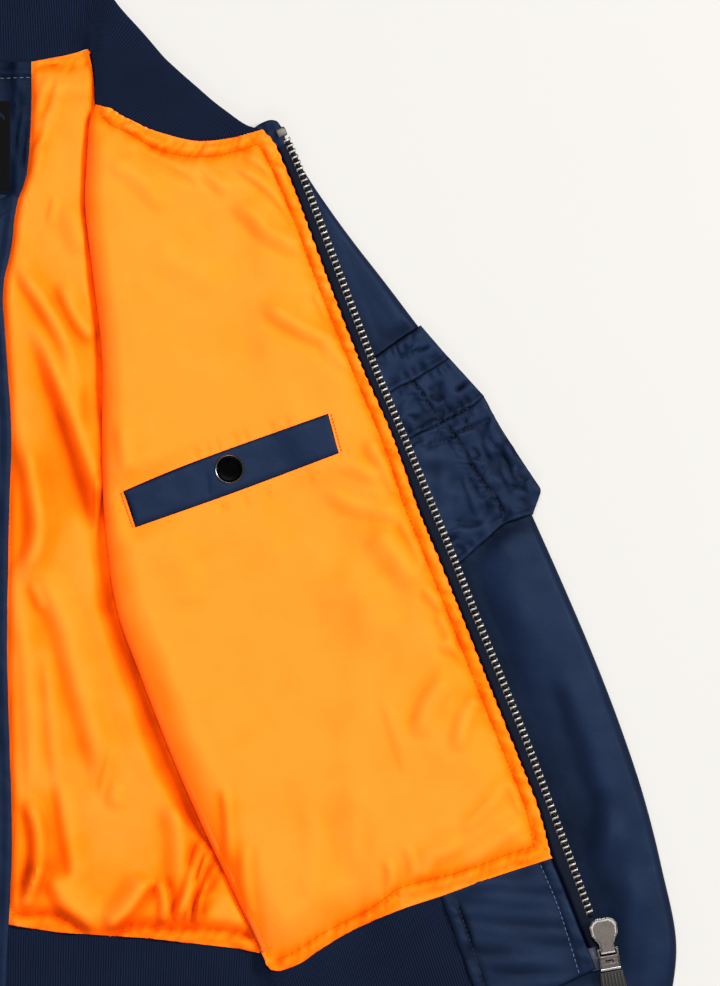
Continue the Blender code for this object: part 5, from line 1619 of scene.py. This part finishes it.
def from_sides(plan):
    return np.minimum(*(away_from(plan, plan[:, k]) for k in (0, -1)))


def pocket_relief(plan, seed, lip):
    """Rise of a panel that is sewn down at its upper edge and stands proud by lip at its lower one."""
    down = away_from(plan, plan[0])
    up, along = nearest(plan, plan[-1])
    up = np.abs(up)
    held = smooth_step(down / 5) * smooth_step((from_sides(plan) + 1) / 4)
    rise = 1.0 + 0.55 * ripple(plan, 24, seed) + 0.4 * ripple(plan, 9, seed + 1, (1.0, 1.8))
    gather = gathers(along, 1.4, 2.2, 7, seed)
    rise = np.maximum(rise, 0.1) - 0.8 * gather * bell(down - 4, 3.5)
    rise -= 0.7 * (1 - gather) * bell(up - 5, 3.0)
    return np.maximum(rise, 0) * held + lip * smooth_step((6 - up) / 5) * held


def pocket_panel(name, node, plan, rise, thickness, cell):
    """A panel of the pocket, with painted shade under the lip of the panel above it and along its own lower
    edge.
    """
    rise = np.maximum(rise, 0)
    shade_under_lip = bell(away_from(plan, plan[0]), 1.6) * smooth_step((from_sides(plan) + 2) / 8)
    foot = bell(away_from(plan, plan[-1]), 0.9)
    light = 1.04 * openness(rise, cell) * (1 - 0.45 * shade_under_lip) * (1 - 0.2 * foot)
    return laid(name, plan, POCKET_Z, thickness, NYLON, "nylon", rise, light=light, node=node,
                rests_on=["left_sleeve"])  # fmt: skip


def utility_pocket():
    mouth = smooth_curve(POCKET_MOUTH, 15)
    plan = strip(curve(PEN_BAND_TOP), straight(mouth), stops(60, 1.0), stops(28, 1.0))
    rise = pocket_relief(plan, 121, 0.9)
    rise += sewn(plan, photo(PEN_BAND_STITCH_PX), 0.5, 1.3, 0.3, 5, 0.4, 6, 122)
    rise += crumpled(plan, 5, 123, 0.5, 0.2, 0.95)
    pocket_panel("pen_band_panel", "pen_band", plan, rise, LINING, 1.0)

    seam = smooth_curve(POCKET_SEAM, 15)
    plan = strip(straight(offset_curve(mouth, 1.0)), straight(seam), stops(58, 0.9), stops(30, 0.9))
    rise = pocket_relief(plan, 131, 1.1)
    for line in POCKET_TOP_STITCHES_PX:
        rise += sewn(plan, photo(line), 1.1, 1.2, 0.3, 5, 0.9, 5, 132)
    for line in POCKET_TOP_CREASES_PX:
        rise += crease(plan, photo(line), -1.4, 1.5)
    rise += crumpled(plan, 9, 133, 0.1, 0.1, 0.95)
    top = pocket_panel("utility_pocket_top_panel", "utility_pocket_top", plan, rise, POCKET_FLAP, 0.9)

    seam = offset_curve(seam, 1.0)
    outer = smooth_curve((seam[-1], *POCKET_OUTER[1:]), 70)
    foot = smooth_curve(POCKET_HEM, 15)
    plan = strip(straight(seam), straight(foot), stops(62, 1.0), stops(100, 1.0), straight(outer))
    rise = pocket_relief(plan, 141, 0.9)
    rise += 0.5 * ripple(plan, 13, 143) * smooth_step((plan[..., 0] - 330) / 20)
    for line in POCKET_BODY_STITCHES_PX:
        rise += sewn(plan, photo(line), 1.1, 1.2, 0.4, 6, 1.0, 5, 144)
    for height, line in POCKET_BODY_CREASES_PX:
        rise += crease(plan, photo(line), height, 2.0)
    rise += crumpled(plan, 22, 145, -0.9, 0.55, 0.97) + crumpled(plan, 7, 146, 0.2, 0.08, 0.5)
    body = pocket_panel("utility_pocket_body_panel", "utility_pocket_body", plan, rise, POCKET_BODY, 1.0)
    return top, body


# ---------------------------------------------------------------- inner pocket and snap

# Edges of the welt and of the near-black strip that shows beside it as painted shadow in the pocket's mouth,
# each left, right, top and bottom.
WELT_EDGES = (
    (WELT_CORNERS[0], (113, 34), WELT_CORNERS[1]),
    (WELT_CORNERS[3], (245.5, 84), WELT_CORNERS[2]),
    (WELT_CORNERS[0], (176, 72.5), WELT_CORNERS[3]),
    (WELT_CORNERS[1], (182, 45.5), WELT_CORNERS[2]),
)
SLOT_SHADOW_EDGES = (
    ((108, 45.5), (116, 21.5)),
    ((243, 96.6), (250, 70.4)),
    ((107.7, 48), (140, 61.2), (176, 74.3), (243, 97.1)),
    ((116, 21), (182, 44.4), (250, 70)),
)
WELT_CREASE_PX = ((207, 470), (209, 500))
# Sections of the snap: radius, and height above its base.
SNAP_RIM = ((8.3, 0), (9.6, 0), (9.8, 0.5), (9.65, 1.25), (9.2, 1.65), (8.8, 1.55), (8.45, 1.15))
SNAP_DISC = (
    (0, 0), (8.2, 0), (8.45, 0.9), (8.3, 1.3), (7.9, 1.5), (7.4, 1.52), (6.9, 1.42), (6.5, 1.36), (4.0, 1.36),
    (0, 1.37),
)  # fmt: skip


def inner_pocket(lining):
    tree = tree_of(lining)

    def on_lining(edges, length, width, pitch, lift):
        plan = patch(*(curve(edge) for edge in edges), stops(length, pitch), stops(width, pitch))
        heights = np.array([[point[2] for point in on_top(tree, row)] for row in plan])
        return at_height(plan, heights + lift)

    # A near-black strip where the pocket's facing lies: its colour is painted shadow in the pocket's mouth.
    slot_shadow = on_lining(SLOT_SHADOW_EDGES, 145, 27, 1.6, 0.3)
    wall("inner_welt_painted_shadow", slot_shadow, 0.5, NYLON_SHADOW, "nylon", rests_on=["left_front_lining"])
    strip_grid = on_lining(WELT_EDGES, 145, 26, 1.4, 0.45)
    plan = strip_grid[..., :2]
    rise = 0.9 * rim_factor(strip_grid, 6) + 0.15 * ripple(plan, 20, 151)
    strip_grid[..., 2] += rise + crease(plan, photo(WELT_CREASE_PX), -0.4, 1.6)
    welt = wall("inner_welt_strip", strip_grid, TRIM, NYLON, "nylon", light=openness(strip_grid[..., 2], 1.4),
                node="inner_welt", rests_on=["left_front_lining"])  # fmt: skip
    corners = np.array(WELT_CORNERS, float)
    lines = [offset_curve(corners[:2], -1.9), offset_curve(corners[[3, 2]], 1.9)]
    stitches("welt_stitches", lining, lines, RED_THREAD, "satin", 2.2, 1.9, 0.4)

    base = on_top(tree_of(welt), [SNAP_CENTRE])[0][2] - 0.5
    rim, disc = ([(radius, base + height) for radius, height in section] for section in (SNAP_RIM, SNAP_DISC))
    merged("snap_rim", [lathe(rim, SNAP_CENTRE)], SNAP_METAL, "snap_metal", node="snap_ring")
    merged("snap_disc", [lathe(disc, SNAP_CENTRE)], ENAMEL, "snap_enamel", node="snap_cap")


# ---------------------------------------------------------------- zip

TOOTH_PITCH = 4.1
TAPE_TO_TEETH = 1.4  # from the tape's inner edge to the middle of the teeth
TAPE = 0.9
TAPE_END_OUTER_PX = ((250, 131), (259, 124.2), (269, 120), (276.5, 121), (281.5, 127))
TAPE_END_INNER_PX = ((262, 141), (267, 145.5), (273, 148.5), (280, 148), (287, 143))
FILM_PX = (594, 959)


def taken(mesh):
    """Points and faces of a bmesh, which is freed."""
    mesh.verts.index_update()
    points = np.array([tuple(v.co) for v in mesh.verts])
    faces = [tuple(v.index for v in face.verts) for face in mesh.faces]
    mesh.free()
    return points, faces


def rounded_box(size, bevel, segments=2):
    mesh = bmesh.new()
    bmesh.ops.create_cube(mesh, size=1.0)
    bmesh.ops.scale(mesh, vec=size, verts=mesh.verts)
    bmesh.ops.bevel(mesh, geom=list(mesh.edges), offset=bevel, segments=segments, affect="EDGES", profile=0.5)
    return taken(mesh)


def teeth(name, node, line, base_of):
    """A row of metal teeth across a plan line, each a bar with a foot at both ends, over a near-black core
    that paints the shade between the teeth.
    """
    count = int(length_along(line)[-1] / TOOTH_PITCH)
    centres = spaced(line, (np.arange(count) + 0.5) / count)
    ahead = spaced(line, np.clip((np.arange(count) + 0.9) / count, 0, 1))
    foot, foot_faces = rounded_box((0.9, 2.3, 2.0), 0.3, 1)
    shapes = [rounded_box((4.9, 1.6, 2.5), 0.42)]
    shapes += [(foot + (2.15 * end, 0.45 * end, -0.3), foot_faces) for end in (-1, 1)]
    shade_core, core_faces = rounded_box((3.4, TOOTH_PITCH - 0.4, 1.1), 0.2, 1)
    bars, gap_shades = [], []
    for centre, next_point in zip(centres, ahead):
        along = unit(next_point - centre)
        turn = np.array([[along[1], -along[0], 0], [along[0], along[1], 0], [0, 0, 1]])
        at = (*centre, float(base_of(centre)) + 1.6)
        bars += [(points @ turn + at, faces) for points, faces in shapes]
        gap_shades.append(((shade_core + (0, 2.05, -0.75)) @ turn + at, core_faces))
    merged(f"{name}_core", gap_shades, TEETH_SHADE_METAL, "zip_metal")
    merged(name, bars, TOOTH, "zip_metal", node=node)


def tape_strip(name, node, inner, outer, base):
    columns = np.array((0, 0.02, 0.08, 0.2, 0.35, 0.5, 0.65, 0.8, 0.92, 0.98, 1.0))
    grid = inner[:, None] * (1 - columns[None, :, None]) + outer[:, None] * columns[None, :, None]
    rise = 0.1 * ripple(grid, 30, 161)
    shadow = np.broadcast_to(np.interp(columns, (0, 0.12, 0.4), (0.42, 0.5, 1.0)), rise.shape)
    laid(name, grid, base(grid), TAPE, TAPE_CLOTH, "tape", rise, light=shadow, node=node,
         rests_on=["left_sleeve"])  # fmt: skip


def block(name, size, bevel, segments, place, material, slot, degrees=0, stretch=(1, 1, 1), **facts):
    """A box with rounded edges, turned about the vertical, as a piece of its own."""
    points, faces = rounded_box(size, bevel, segments)
    turn = np.array(Matrix.Rotation(math.radians(degrees), 3, "Z"))
    merged(name, [(points * stretch @ turn.T + place, faces)], material, slot, **facts)


def left_zip():
    line = smooth_curve(TEETH_LINE, 120)
    line = np.vstack([line[:2].mean(axis=0), line[1:]])
    teeth("left_teeth", "left_zip_teeth", line, lambda place: rest_height(place) + GAP)
    edge = smooth_curve((*LEFT_EDGE, *LEFT_EDGE_BELOW[1:]), 280)[6:-2]
    by_teeth = spaced(smooth_curve((*TEETH_LINE, TEETH_LINE_END), 280)[3:-2], len(edge))
    tape_strip("left_tape", "left_zip_tape", offset_curve(edge, 0.2), offset_curve(by_teeth, -TAPE_TO_TEETH),
               lambda grid: rest_height(grid) + 1.2)  # fmt: skip
    outer, inner = (curve(photo(line)) for line in (TAPE_END_OUTER_PX, TAPE_END_INNER_PX))
    plan = strip(outer, inner, stops(26, 1.2), stops(14, 1.2))
    laid("left_tape_end", plan, rest_height(plan) - 0.6, 2.6, NYLON, "tape", 0.4 + 0.5 * ripple(plan, 7, 171),
         held="folded", rests_on=["left_sleeve"])  # fmt: skip


def right_zip():
    line = spaced(((0, 226), (0, -326)), 100)
    teeth("right_teeth", "right_zip_teeth", line, lambda place: RIGHT_FRONT_Z + GAP)
    sides = [spaced(((x, 231), (x, -343)), 240) for x in (CENTRE_FRONT_X + GAP, -TAPE_TO_TEETH)]
    tape_strip("right_tape", "right_zip_tape", *sides, lambda grid: RIGHT_FRONT_Z + 0.8)


def zip_ends():
    block("insertion_pin", (4, 15, 2.8), 0.8, 3, (0, -336, RIGHT_FRONT_Z + 1.5), SLIDER_METAL, "zip_metal",
          node="zip_insertion_pin")  # fmt: skip
    stop_size = (6, 5, 3.3)
    block("right_stop", stop_size, 0.9, 3, (0, 233, RIGHT_FRONT_Z + 1.8), SLIDER_METAL, "zip_metal",
          node="right_top_stop")  # fmt: skip
    x, y = TEETH_LINE[0]
    block("left_stop", stop_size, 0.9, 3, (x - 1.9, y + 1.2, height_at((x, y)) + GAP + 1.8), STOP_METAL,
          "zip_metal", 24, (1.1, 1.25, 1), node="left_top_stop")  # fmt: skip
    x, y = photo(FILM_PX)
    block("tape_end_film", (5.6, 15.5, 0.5), 0.2, 1, (x, y, height_at((x, y)) + 2.6), FILM, "tape", 14)


# ---------------------------------------------------------------- slider and pull

# Outlines of the slider's post and of its bridge's feet, as rows of (y, half width).
SLIDER_POST = ((11, 2.2), (6, 3.4), (-1, 2.4), (-3, 0.8))
BRIDGE_FEET = (((8.8, 3.0), (5, 3.6), (1.4, 3.0)), ((-10.4, 3.0), (-11.9, 3.2)))
GRIP_RIDGES = 7


def outline_from(table, per_span=3):
    """Closed outline, symmetric about y, through rows of (y, half width)."""
    right = np.array([(half, y) for y, half in table], float)
    if per_span > 1:
        right = smooth_curve(right, per_span * len(table))
    return np.vstack([right, mirrored(right[::-1])])


def plate(outline, low, high, bevel, crown=0.0, segments=3):
    """Vertices and faces of a plate with rounded edges and a slightly crowned top."""
    mesh = bmesh.new()
    face = mesh.faces.new([mesh.verts.new((x, y, low)) for x, y in outline])
    top = bmesh.ops.extrude_face_region(mesh, geom=[face])["geom"]
    corners = [item for item in top if isinstance(item, bmesh.types.BMVert)]
    bmesh.ops.translate(mesh, verts=corners, vec=(0, 0, high - low))
    bmesh.ops.recalc_face_normals(mesh, faces=mesh.faces)
    rims = [edge for edge in mesh.edges if abs(edge.verts[0].co.z - edge.verts[1].co.z) < 1e-6]
    bmesh.ops.bevel(mesh, geom=rims, offset=bevel, segments=segments, affect="EDGES", profile=0.5)
    points, faces = taken(mesh)
    if crown:
        reach = np.abs(points[:, :2]).max()
        raised = crown * (1 - (points[:, 0] / reach) ** 2)
        points[:, 2] += np.where(points[:, 2] > (low + high) / 2, raised, 0)
    return points, faces


def placed(part, matrix):
    points, faces = part
    return points @ np.array(matrix.to_3x3()).T + np.array(matrix.translation), faces


def box_at(size, place, bevel, segments=2):
    points, faces = rounded_box(size, bevel, segments)
    return points + place, faces


def slider(place):
    body = outline_from(SLIDER_OUTLINE)
    low, high = BRIDGE_Z
    bridge = [(y * 0.87 - 0.4, half * 0.8) for y, half in BRIDGE_OUTLINE]
    parts = [
        plate(body, 0, SLIDER_PLATE + 0.2, 0.4),
        plate(body, SLIDER_HEIGHT - SLIDER_PLATE - 0.2, SLIDER_HEIGHT, 0.45, 0.25),
        plate(outline_from(SLIDER_POST), 0.8, SLIDER_HEIGHT - 0.8, 0.3),
        *(plate(outline_from(foot), SLIDER_HEIGHT - 0.4, low + 0.5, 0.3) for foot in BRIDGE_FEET),
        plate(outline_from(bridge, 1), low, high + 0.15, 0.3),
    ]
    # The rim and the bar at its foot get bright metal: painted highlight, partly rubbed wear.
    rim = [
        plate(outline_from(BRIDGE_OUTLINE, 1), low, high, 1.0, 0.0, 1),
        box_at((9.6, 1.5, 1.3), (0, -11.3, high - 0.5), 0.4),
    ]
    merged("slider_body", [placed(part, place) for part in parts], SLIDER_METAL, "zip_metal",
           node="zip_slider", smooth=False)  # fmt: skip
    merged("slider_highlight_rim", [placed(part, place) for part in rim], HIGHLIGHT_METAL, "zip_metal", smooth=False)
    box = box_at((8, 9.5, 3.6), (0, -17.8, 1.8), 0.8, 3)
    merged("retaining_box", [placed(box, place)], SLIDER_METAL, "zip_metal", node="zip_retaining_box")


def pull(hinge):
    """The connector and the grip, in the frame of their hinge."""
    inner, outer = CONNECTOR_HALF
    end = CONNECTOR_END - PIVOT_Y
    middle, window = (inner + outer) / 2, 2.6
    sides = (-1, 1)
    bars = [((2 * outer, CONNECTOR), (0, 0))]
    bars += [((outer - inner, -end - 1), (side * middle, end / 2)) for side in sides]
    bars += [((2 * outer, 2.9), (0, -6.0)), ((2 * outer, -end - 9.6), (0, (end - 9.6) / 2))]
    bars += [((outer - window, 3.0), (side * (outer + window) / 2, -8.5)) for side in sides]
    link = [placed(box_at((*size, CONNECTOR), (*at, 0), 0.32), hinge) for size, at in bars]
    merged("pull_link", link, PULL_METAL, "pull_metal", body=PULL, node="pull_connector", smooth=False)
    # The link's ends get bright metal: painted highlight, partly rubbed wear.
    highlit_clasp = placed(box_at((2 * outer - 0.3, 1.7, 1.5), (0, end + 1.0, 0.1), 0.4), hinge)
    merged("pull_link_highlight_ends", [highlit_clasp], HIGHLIGHT_METAL, "pull_metal", body=PULL, smooth=False)

    rows = [(y - PIVOT_Y, half_width) for y, half_width in TAB_OUTLINE]
    parts = [plate(outline_from(rows), -TAB / 2 + 0.35, TAB / 2 - 0.35, 0.5)]
    (start_y, start_half), (end_y, end_half) = rows[0], rows[-3]
    length = start_y - end_y
    for k in range(GRIP_RIDGES):
        box, faces = rounded_box((1.3, length - 2.0, TAB), 0.25, 2)
        share = np.clip(box[:, 1] / length + 0.5, 0, 1)
        box[:, 0] += (k - GRIP_RIDGES // 2) / 3.6 * (end_half + (start_half - end_half) * share)
        parts.append((box + (0, (start_y + end_y) / 2, 0), faces))
    merged("pull_grip", [placed(part, hinge) for part in parts], RUBBER, "pull_rubber", body=PULL,
           node="pull_tab")  # fmt: skip


def slider_and_pull():
    place = Matrix.Translation((*SLIDER_CENTRE, height_at(SLIDER_CENTRE) + GAP))
    place = place @ Matrix.Rotation(SLIDER_TURN, 4, "Z")
    slider(place)
    pull(place @ Matrix.Translation((0, PIVOT_Y, PIVOT_Z)) @ Matrix.Rotation(PULL_SLOPE, 4, "X"))


# ---------------------------------------------------------------- stage, light and camera

FLOOR_SIZE = 9
FLOOR_PLACE = (0.26, 0.04, -0.0004)
LIGHT_AIM = (0.2, 0.04, 0)
# Lights: name, place, size and power.
LIGHTS = (
    ("overhead", (0.45, 1.15, 4.2), 1.5, 215),
    ("side", (2.7, 0.9, 2.5), 1.0, 165),
    ("near", (0.3, -2.3, 2.9), 1.2, 30),
)
CAMERA_DISTANCE = 6.0
SENSOR = 36
PHOTO_WIDTH_PX = 720
PHOTO_MIDDLE_PX = (360, 493)


def floor():
    bpy.ops.mesh.primitive_plane_add(size=FLOOR_SIZE, location=FLOOR_PLACE)
    obj = bpy.context.object
    obj.name = "floor"
    material, tree, shader = nodes_of("pale_floor")
    tone = blended(tree, noise(tree, 6, 2), 0.3, 0.7, (0.178, 0.174, 0.165), (0.180, 0.176, 0.167))
    tree.links.new(tone, shader.inputs["Base Color"])
    shader.inputs["Roughness"].default_value = 0.9
    shader.inputs["Specular IOR Level"].default_value = 0.1
    shader.inputs["Emission Color"].default_value = (0.98, 0.955, 0.915, 1)
    shader.inputs["Emission Strength"].default_value = 0.50
    obj.data.materials.append(material)


def studio():
    world = bpy.data.worlds.new("studio")
    world.use_nodes = True
    tree = world.node_tree
    sky = tree.nodes["Background"]
    direction = tree.nodes.new("ShaderNodeTexCoord")
    parts = tree.nodes.new("ShaderNodeSeparateXYZ")
    tree.links.new(direction.outputs["Generated"], parts.inputs["Vector"])
    ceiling = blended(tree, parts.outputs["Z"], 0.62, 0.9, (0.985, 0.98, 0.965), (0.08, 0.08, 0.08))
    tree.links.new(ceiling, sky.inputs["Color"])
    sky.inputs["Strength"].default_value = 0.38
    bpy.context.scene.world = world


def area_light(name, place, size, power):
    light = bpy.data.lights.new(name, "AREA")
    light.shape = "DISK"
    light.size = size
    light.energy = power
    obj = bpy.data.objects.new(name, light)
    obj.location = place
    obj.rotation_euler = (Vector(LIGHT_AIM) - Vector(place)).to_track_quat("-Z", "Y").to_euler()
    bpy.context.scene.collection.objects.link(obj)


def photo_camera():
    view = bpy.data.cameras.new("photo_camera")
    view.type = "PERSP"
    view.sensor_fit = "HORIZONTAL"
    view.sensor_width = SENSOR
    view.lens = SENSOR * CAMERA_DISTANCE / (PHOTO_WIDTH_PX * PIXEL * MM)
    view.clip_end = 50
    camera = bpy.data.objects.new("photo_camera", view)
    camera.location = (*(photo(PHOTO_MIDDLE_PX) * MM), CAMERA_DISTANCE + 0.01)
    bpy.context.scene.collection.objects.link(camera)
    bpy.context.scene.camera = camera


def stage():
    floor()
    bpy.context.scene.view_settings.view_transform = "Standard"
    studio()
    for light in LIGHTS:
        area_light(*light)
    photo_camera()


# ---------------------------------------------------------------- all of it

NARROWEST_CUT = 0.01
FACING_ROW_PX = ((-60, 77), (-30, 77.5), (0, 78), (31, 77))


def stitch_rows(front_lining, lining, facing, placket, right, pocket_body, pocket_top):
    """Rows of (name, piece, lines, thread, slot, pitch, length, radius)."""
    front = photo(FRONT_STITCH_PX)
    front_lines = [front[:12], front[11:32], front[31:]]
    right_line = [(RIGHT_STITCH_X, y) for y in (234, 0, -262)]
    dark_line = photo(PLACKET_DARK_STITCH_PX)
    body_lines = [photo(line) for line in POCKET_BODY_STITCHES_PX]
    top_lines = [photo(line) for line in POCKET_TOP_STITCHES_PX]
    return (
        ("front_lining_stitches", front_lining, front_lines, ORANGE_THREAD, "satin", 3.0, 2.5, 0.3),
        ("back_lining_stitches", lining, [photo(BACK_STITCH_PX)], ORANGE_THREAD, "satin", 3.2, 2.4, 0.3),
        ("facing_stitches", facing, [photo(FACING_ROW_PX)], GREY_THREAD, "nylon", 4.2, 2.6, 0.25),
        ("placket_stitches", placket, [photo(PLACKET_STITCH_PX)], BLUE_THREAD, "nylon", 3.6, 2.6, 0.3),
        ("placket_dark_stitches", placket, [dark_line], NAVY_THREAD, "nylon", 3.2, 2.2, 0.3),
        ("right_front_stitches", right, [right_line], NAVY_THREAD, "nylon", 3.2, 2.3, 0.3),
        ("pocket_body_stitches", pocket_body, body_lines, NAVY_THREAD, "nylon"),
        ("pocket_top_stitches", pocket_top, top_lines, NAVY_THREAD, "nylon"),
    )


def declare_sheets():
    """Prints each sheet's name, the width and length of its grid, half its surface area and its face count.
    """
    for obj, (width, length), held, rests_on in SHEETS:
        area = sum(polygon.area for polygon in obj.data.polygons) / 2
        width = max(width, NARROWEST_CUT)
        print("sheet", obj.name, round(width, 3), round(length, 3), round(area, 5), len(obj.data.polygons))
        area = min(area, width * length)


def main():
    stage()
    lining = back_lining(back_panel())
    facing = neck_facing(lining)
    neck_label(facing)
    front_lining = left_front_lining(left_front_panel())
    right = right_front()
    wind_flap()
    collar()
    hem_band()
    right_hem_placket()
    placket = left_hem_placket()
    sleeves()
    pocket_top, pocket_body = utility_pocket()
    inner_pocket(front_lining)
    left_zip()
    right_zip()
    zip_ends()
    slider_and_pull()
    for row in stitch_rows(front_lining, lining, facing, placket, right, pocket_body, pocket_top):
        stitches(*row)
    declare_sheets()


main()
